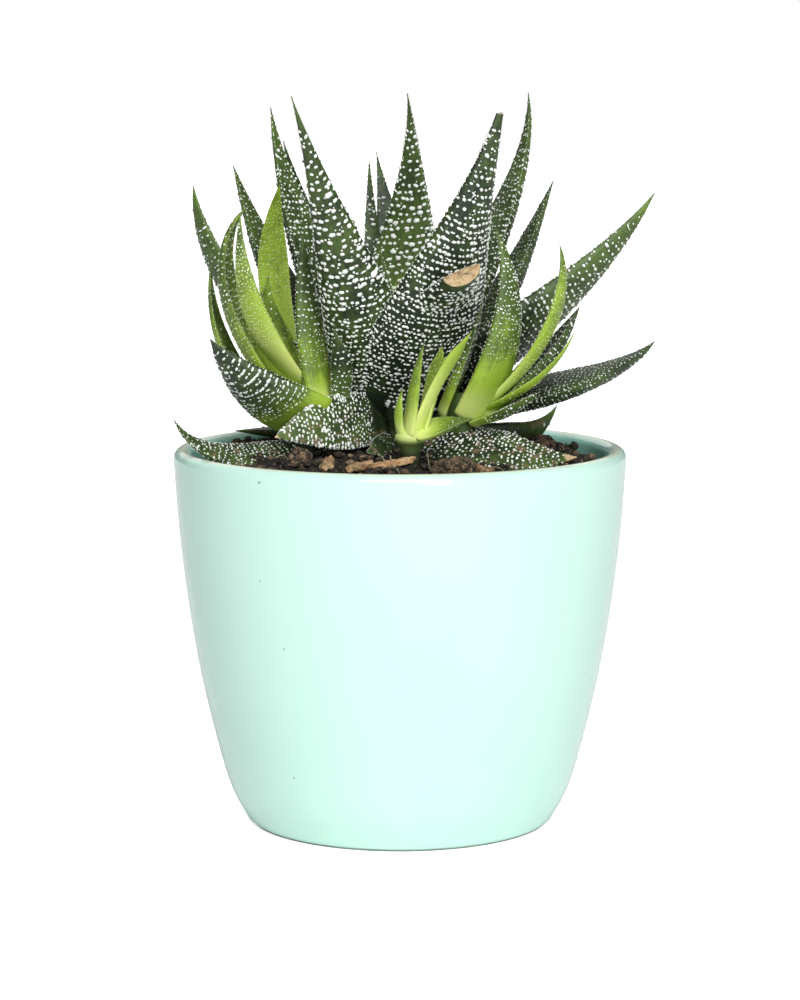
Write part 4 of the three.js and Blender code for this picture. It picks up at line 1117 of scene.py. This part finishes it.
# The front offset: the youngest, five small pale leaves that open like a fan over the front leaves.
FRONT_LOOK = {
    "reach": 1.7, "inner": (0.06, -0.02), "green": (1.05, 0.7), "greens_by": 0.9,
    "pale_to": 0.5, "ring_step": 0.6,
    "beads": {
        "at": (0, 1), "rows": 0.8, "gaps": 0.75, "sizes": (0.1, 0.13), "first": 0.35, "first_inside": 0.4,
        "cover": 0.5, "long": 1.2, "dashes": 0, "specks": 0.2, "bow": 0.3, "teeth": 0.6, "tooth": 0.09,
    },
}
FRONT_LEAVES = [
    {"points": 349.5, "turn": -20, "lean": (21, 43.5), "bend": 1.4, "length": 24, "width": 3.7,
     "foot": 80, "roll": -14, "reach": 0.4, "widest": 0.7, "full": 1.4, "broad": 1.2,
     "green": (1.3, 0.95), "pale_to": 0.85, "chalk": 0.6, "beads": {"cover": 0.2, "tooth": 0.05}},
    {"points": 343.5, "turn": 3, "lean": (65.5, 80), "bend": 0.5, "length": 12, "width": 7.2,
     "foot": 81, "roll": 24, "reach": 0.8, "widest": 0.25, "full": 1.4, "broad": 0.9, "green": (0.92, 0.6)},
    {"points": 176.5, "turn": -14, "lean": (-10, -7.5), "bend": 0.8, "length": 19, "width": 6.9,
     "foot": 79.5, "roll": 17, "reach": 0.2, "widest": 0.45, "full": 1.6, "broad": 0.9,
     "green": (1.2, 0.5), "greens_by": 1, "chalk": 0.6, "beads": {"cover": 0.2, "tooth": 0.05}},
    {"points": 200, "turn": 5, "lean": (17, -15), "bend": 0.8, "length": 9.5, "width": 3.1,
     "foot": 80, "roll": 5, "widest": 0.4, "full": 1.6, "broad": 0.9},
    # Painted light: this leaf lies in shade behind the others, and its green is set high so that it shows
    # bright.
    {"points": 24.5, "turn": 10, "lean": (13, 20.5), "length": 18, "width": 5.4, "foot": 80,
     "roll": -5, "widest": 0.7, "full": 1.8, "broad": 0.9, "green": (1.4, 0.85), "pale_to": 0.7,
     "beads": {"cover": 0.95, "sizes": (0.12, 0.15)}},
]
grow_rosette("front_offset_leaf", FRONT_LEAVES, FRONT_AXIS, FRONT_LOOK, "young_leaf", young_finish, 400)

# Bark chips: slips of dry pine bark that lie on the soil in front, split along the grain, with ragged
# ends. The big one leans on its neighbour. A deeper tone is a browner chip.
BARK_CHIPS = [
    {"at": (-2.4, -30.5), "lift": 0.9, "turn": 18, "tilt": 9, "size": (10, 2.8, 1.3), "tone": 0},
    {"at": (-7.6, -32), "lift": 0.5, "turn": -25, "tilt": 14, "size": (5, 3.4, 1.5), "tone": 0.4},
    {"at": (-13.7, -29.5), "lift": 0.7, "turn": 70, "tilt": 35, "size": (4, 2.8, 1.6), "tone": 0.75},
    {"at": (15.5, -32), "lift": 0.6, "turn": -35, "tilt": -12, "size": (4.4, 2.8, 1.4), "tone": 0.85},
]
BARK_TAN = srgb(206, 176, 130)
BARK_RED = srgb(166, 116, 74)
BARK_GREY = srgb(140, 122, 98)
BARK_BROWN = srgb(88, 66, 48)
CHIP_RINGS = 44
CHIP_AROUND = 36
# How much a chip's width wavers along it, its width at the very ends, and how ragged those are
CHIP_WAVER = 0.15
CHIP_END_WIDTH = 0.02
CHIP_RAG = 0.1
# Depth of the grooves and how close they lie, then share and size of the flakes, and depth and size of fibre
GROOVE_DEPTH = 0.1
GROOVE_PACE = 9
FLAKES = (0.09, 1.6)
SPLINTERS = (0.07, 0.7)
RUMPLE_PACES = (0.6, 1.7)
RUMPLE_GAIN = 2.2


def rumple(points, size, seed, waves=9):
    """Smooth random relief between about -1 and 1: the mean of sine waves of about that size, each in a
    random direction and with a random start."""
    draw = np.random.default_rng(seed)
    direction = draw.standard_normal((waves, 3))
    direction /= np.linalg.norm(direction, axis=1, keepdims=True)
    stretch = draw.uniform(*RUMPLE_PACES, (waves, 1))
    phase = draw.uniform(0, 2 * np.pi, waves)
    return np.sin(points @ (direction * stretch * 2 * np.pi / size).T + phase).mean(1) * RUMPLE_GAIN


def jostle(points, size, seed):
    """Three reliefs of that size, one for each direction."""
    return np.stack([rumple(points, size, seed + i) for i in (1, 2, 3)], -1)


def bark_slip(size, seed):
    """A slip of bark: rounded-square sections, each length*v along, narrowing raggedly to both ends, with
    grooves that run along the grain."""
    length, width, thick = size
    v = np.linspace(-1, 1, CHIP_RINGS)[:, None]
    angle = (2 * np.pi * np.arange(CHIP_AROUND) / CHIP_AROUND)[None]
    waver = 1 - CHIP_WAVER + CHIP_WAVER * np.sin(4 * v + seed)
    narrow = (1 - np.abs(v) ** 5) ** 0.5 * waver + CHIP_END_WIDTH
    square = (np.abs(np.cos(angle)) ** 4 + np.abs(np.sin(angle)) ** 4) ** -0.25
    x = length / 2 * v * (1 + CHIP_RAG * np.sin(3 * angle + seed))
    y = width / 2 * narrow * square * np.cos(angle)
    z = thick / 2 * np.minimum(narrow + 0.2, 1) * square * np.sin(angle)
    grooves = GROOVE_DEPTH * np.sin(y * GROOVE_PACE + seed) * np.sign(np.sin(angle))
    rings = np.stack([x, y, z + grooves * (thick / 1.4)], -1).reshape(-1, 3)
    flake_share, flake_size = FLAKES
    rings = rings * (1 + flake_share * rumple(rings, flake_size, seed)[:, None])
    splinter_depth, splinter_size = SPLINTERS
    rings = rings + splinter_depth * jostle(rings, splinter_size, seed)
    ends = np.array([[-length / 2, 0, 0], [length / 2, 0, 0]]) * 0.98
    points = np.vstack([ends[0], rings, ends[1]])
    return points, *tube_faces(CHIP_RINGS, CHIP_AROUND)


def laid(points, chip):
    """Tilts points about Y and turns them about the vertical, then sets them over the soil."""
    tilt, turn = math.radians(-chip["tilt"]), math.radians(chip["turn"])
    x = points[:, 0] * math.cos(tilt) + points[:, 2] * math.sin(tilt)
    z = points[:, 2] * math.cos(tilt) - points[:, 0] * math.sin(tilt)
    place_x, place_y = chip["at"]
    base = soil_height(place_x, place_y) + chip["lift"]
    flat_x = x * math.cos(turn) - points[:, 1] * math.sin(turn) + place_x
    flat_y = x * math.sin(turn) + points[:, 1] * math.cos(turn) + place_y
    return np.stack([flat_x, flat_y, z + base], -1)


def dry_bark():
    """Dry pine bark: tan, redder and greyer in flakes, browner on chips of a deeper tone, and fibrous."""
    bark = Finish("dry_bark")
    flakes = bark.noise(1.4, 4, 0.65)
    colour = bark.blend(bark.ramp(flakes, 0.4, 0.62), BARK_TAN, BARK_RED)
    colour = bark.blend(bark.ramp(bark.noise(0.7, 3), 0.55, 0.7), colour, BARK_GREY)
    stain = bark.ramp(bark.noise(0.9, 4, 0.7), 0.3, 0.6)
    colour = bark.blend(bark.times(bark.mark("tone"), stain), colour, BARK_BROWN)
    relief = bark.bump(bark.noise(0.3, 4, 0.75), 0.24)
    return bark.paint(base_color=colour, roughness=0.88, normal=relief)


bark_finish = dry_bark()
for number, chip in enumerate(BARK_CHIPS, 1):
    name = f"bark_chip_{number}"
    points, quads, triangles = bark_slip(chip["size"], number * 3)
    tone = np.full(len(points), chip["tone"])
    points = laid(points, chip)
    make_piece(f"{name}_split", points, quads, triangles, bark_finish, "bark", [name], {"tone": tone})

# Crumbs of soil: lumps of brown humus grains, pressed together, that lie against the leaves.
CRUMBS = [
    {"at": (10.5, -32), "lift": 0.3, "radii": (4.4, 2.8, 2)},
    {"at": (-19, -25), "lift": 0.5, "radii": (2.2, 1.9, 2)},
    {"at": (28.5, 4), "lift": 0.3, "radii": (2.6, 2.2, 1.8)},
]
CRUMB_RINGS = 60
CRUMB_AROUND = 84
CRUMB_SEED = 40
GRAINS_PER_AREA = 22
# Size of the core under the grains, share and size of its lumps, and depth and size of the grit on top
CORE_SIZE = 0.84
CORE_LUMPS = (0.12, 2.4)
GRIT = (0.05, 0.5)
GRAIN_REACH = (0.35, 0.85)
GRAIN_HEIGHT = 0.5
GRAIN_TONES = (0.5, 0.94)
# Height of dome from which a grain shows its own tone, and the tone between the grains
GRAIN_SHOWS = 0.08
GAP_TONE = 0.2


def crumb_skin(radii, seed):
    """A crumb of pressed grains: a ball stretched to its radii, on which each grain raises a dome round its
    own spot, of height GRAIN_HEIGHT*sqrt(reach^2 - distance^2). Also returns the tone of the grain at each
    point."""
    draw = np.random.default_rng(seed)
    ball, quads, triangles = ball_skin(CRUMB_RINGS, CRUMB_AROUND)
    grains = int(GRAINS_PER_AREA * np.mean(radii) ** 2)
    spot = draw.standard_normal((grains, 3))
    spot /= np.linalg.norm(spot, axis=1, keepdims=True)
    reach = draw.uniform(*GRAIN_REACH, grains)
    away = np.linalg.norm((ball[:, None] - spot[None]) * radii, axis=-1)
    dome = GRAIN_HEIGHT * np.sqrt(np.clip(reach**2 - away**2, 0, None))
    lump_share, lump_size = CORE_LUMPS
    lump = ball * radii * (CORE_SIZE + lump_share * rumple(ball * radii, lump_size, seed)[:, None])
    lump = lump + ball * dome.max(1)[:, None]
    grit_depth, grit_size = GRIT
    lump = lump + grit_depth * jostle(ball * radii, grit_size, seed)
    tones = draw.uniform(*GRAIN_TONES, grains)
    tone = np.where(dome.max(1) > GRAIN_SHOWS, tones[dome.argmax(1)], GAP_TONE)
    return lump, quads, triangles, tone


for number, crumb in enumerate(CRUMBS, 1):
    name = f"soil_crumb_{number}"
    points, quads, triangles, tone = crumb_skin(crumb["radii"], CRUMB_SEED + number)
    x, y = crumb["at"]
    points = points + (x, y, soil_height(x, y) + crumb["lift"])
    make_piece(f"{name}_rough", points, quads, triangles, granule_finish, "soil", [name], {"tone": tone})

# Root fibres: fine, dry roots of the plant that the watering has bared. They lie over the crumbs, and one
# or two stand up in front of the stems.
FIBRES = [
    {"at": (-1.9, -29.5), "turn": -80, "length": 7.5, "rise": (1.9, 0.3), "curl": 0.3},
    {"at": (5.8, -32.5), "turn": 110, "length": 3.6, "rise": (0.2, 3.4), "curl": -0.3},
    {"at": (-4.2, -30), "turn": -50, "length": 3.2, "rise": (2.6, 0.8), "curl": 0.5},
    {"at": (-24, -22), "turn": 20, "length": 6, "rise": (0.9, 0.7), "curl": -0.8},
    {"at": (20, -30), "turn": 150, "length": 5, "rise": (0.8, 0.6), "curl": 0.9},
    {"at": (31, 4), "turn": 95, "length": 7, "rise": (0.7, 0.9), "curl": 0.6},
    {"at": (-30, 8), "turn": 60, "length": 8, "rise": (0.8, 0.7), "curl": -0.5},
    {"at": (-8, 34), "turn": 10, "length": 8, "rise": (0.7, 0.8), "curl": 0.7},
    {"at": (20, 27), "turn": 140, "length": 7, "rise": (0.9, 0.7), "curl": -0.7},
]
FIBRE_RADIUS = 0.09
# How thick a fibre begins, as a share of its radius, and how much it thins, and the height of its wave
FIBRE_BEGINS = 1.1
FIBRE_THINS = 0.6
FIBRE_WAVE = 0.15
FIBRE_RINGS = 24
FIBRE_SIDES = 6
ROOT_DRY = srgb(168, 166, 140)
ROOT_BROWN = srgb(112, 100, 78)


def fibre_skin(fibre):
    """A thin tube along a curve on the ground: the heading turns by curl over its length, and the height
    over the soil goes from the first rise to the second, with a small wave."""
    t = np.linspace(0, 1, FIBRE_RINGS)
    heading = math.radians(fibre["turn"]) + fibre["curl"] * t
    step = fibre["length"] / (FIBRE_RINGS - 1)
    x = fibre["at"][0] + np.cumsum(np.cos(heading)) * step
    y = fibre["at"][1] + np.cumsum(np.sin(heading)) * step
    z = soil_height(x, y) + np.interp(t, (0, 1), fibre["rise"]) + FIBRE_WAVE * np.sin(7 * t + fibre["turn"])
    path = np.stack([x, y, z], -1)
    along = np.gradient(path, axis=0)
    along /= np.linalg.norm(along, axis=1, keepdims=True)
    aside = np.cross(along, (0.3, 0.2, 0.9))
    aside /= np.linalg.norm(aside, axis=1, keepdims=True)
    over = np.cross(along, aside)
    angle = 2 * np.pi * np.arange(FIBRE_SIDES) / FIBRE_SIDES
    radius = FIBRE_RADIUS * (FIBRE_BEGINS - FIBRE_THINS * t)[:, None, None]
    ring = aside[:, None] * np.cos(angle)[:, None] + over[:, None] * np.sin(angle)[:, None]
    rings = (path[:, None] + radius * ring).reshape(-1, 3)
    return np.vstack([path[0], rings, path[-1]])


def dry_root():
    """Dry root: pale grey-green, browner in patches, with a fibrous surface."""
    root = Finish("dry_root")
    colour = root.blend(root.ramp(root.noise(1.2, 3), 0.4, 0.65), ROOT_DRY, ROOT_BROWN)
    relief = root.bump(root.noise(0.2, 3, 0.7), 0.05)
    return root.paint(base_color=colour, roughness=0.85, normal=relief)


skins = [fibre_skin(fibre) for fibre in FIBRES]
quads, triangles = copied_faces(*tube_faces(FIBRE_RINGS, FIBRE_SIDES), len(skins), len(skins[0]))
make_piece("root_fibres", np.vstack(skins), quads, triangles, dry_root(), "soil")

# The studio: a plain pale floor in a white room, lit by a broad sun from the front and above, a weaker one
# from behind and a tall softbox in front, whose streak shows on the glaze. The camera has the photograph's
# own height, distance and tilt.
CAMERA_AT = (0.0, -0.6, 0.1462)
CAMERA_DOWN = 7.77
LENS = 109.3
SENSOR_WIDTH = 36
FLOOR_SIZE = 12.0
FLOOR_WHITE = srgb(248, 249, 249)
FLOOR_LIT = 0.75
ROOM_LIGHT = 0.13

bpy.ops.mesh.primitive_plane_add(size=FLOOR_SIZE)
floor = bpy.context.object
floor.name = "studio_floor"
floor_paint = Finish("studio_floor_paint")
to_camera = floor_paint.tree.nodes.new("ShaderNodeLightPath").outputs["Is Camera Ray"]
floor.data.materials.append(floor_paint.paint(
    base_color=FLOOR_WHITE, roughness=0.9, emission_color=FLOOR_WHITE,
    emission_strength=floor_paint.times(to_camera, FLOOR_LIT)))

camera = bpy.data.objects.new("camera", bpy.data.cameras.new("camera"))
camera.data.lens = LENS
camera.data.sensor_width = SENSOR_WIDTH
camera.location = CAMERA_AT
camera.rotation_euler = (math.radians(90 - CAMERA_DOWN), 0, 0)
bpy.context.scene.collection.objects.link(camera)
bpy.context.scene.camera = camera


def sun(name, bearing, height, energy, spread):
    """Distant soft light from a bearing (degrees clockwise from the front, seen from above) and height."""
    light = bpy.data.objects.new(name, bpy.data.lights.new(name, "SUN"))
    light.data.energy = energy
    light.data.angle = math.radians(spread)
    light.rotation_euler = (math.radians(90 - height), 0, math.radians(bearing))
    bpy.context.scene.collection.objects.link(light)


def softbox(name, at, aim, width, height, power):
    """Tall lamp at a place in metres, aimed at another, of a width, a height and a power in watts."""
    light = bpy.data.objects.new(name, bpy.data.lights.new(name, "AREA"))
    light.data.shape = "RECTANGLE"
    light.data.size = width
    light.data.size_y = height
    light.data.energy = power
    light.location = at
    away = np.array(aim) - at
    tilt = math.acos(away[2] / np.linalg.norm(away)) - math.pi
    turn = math.atan2(-away[0], away[1]) + math.pi
    light.rotation_euler = (tilt, 0, turn)
    bpy.context.scene.collection.objects.link(light)


sun("key_light", bearing=5, height=46, energy=2.7, spread=40)
sun("back_light", bearing=190, height=40, energy=0.7, spread=60)
softbox("front_box", at=(0.4, -1.2, 0.45), aim=(0, 0, 0.07), width=0.3, height=1.0, power=7.9)

world = bpy.data.worlds.new("white_room")
world.use_nodes = True
backdrop = world.node_tree.nodes["Background"]
backdrop.inputs["Color"].default_value = (1, 1, 1, 1)
backdrop.inputs["Strength"].default_value = ROOM_LIGHT
seen = world.node_tree.nodes.new("ShaderNodeBackground")
seen.inputs["Color"].default_value = (1, 1, 1, 1)
seen.inputs["Strength"].default_value = 1.0
path = world.node_tree.nodes.new("ShaderNodeLightPath")
either = world.node_tree.nodes.new("ShaderNodeMixShader")
world.node_tree.links.new(path.outputs["Is Camera Ray"], either.inputs[0])
world.node_tree.links.new(backdrop.outputs[0], either.inputs[1])
world.node_tree.links.new(seen.outputs[0], either.inputs[2])
world.node_tree.links.new(either.outputs[0], world.node_tree.nodes["World Output"].inputs["Surface"])
bpy.context.scene.world = world
bpy.context.scene.view_settings.view_transform = "Standard"
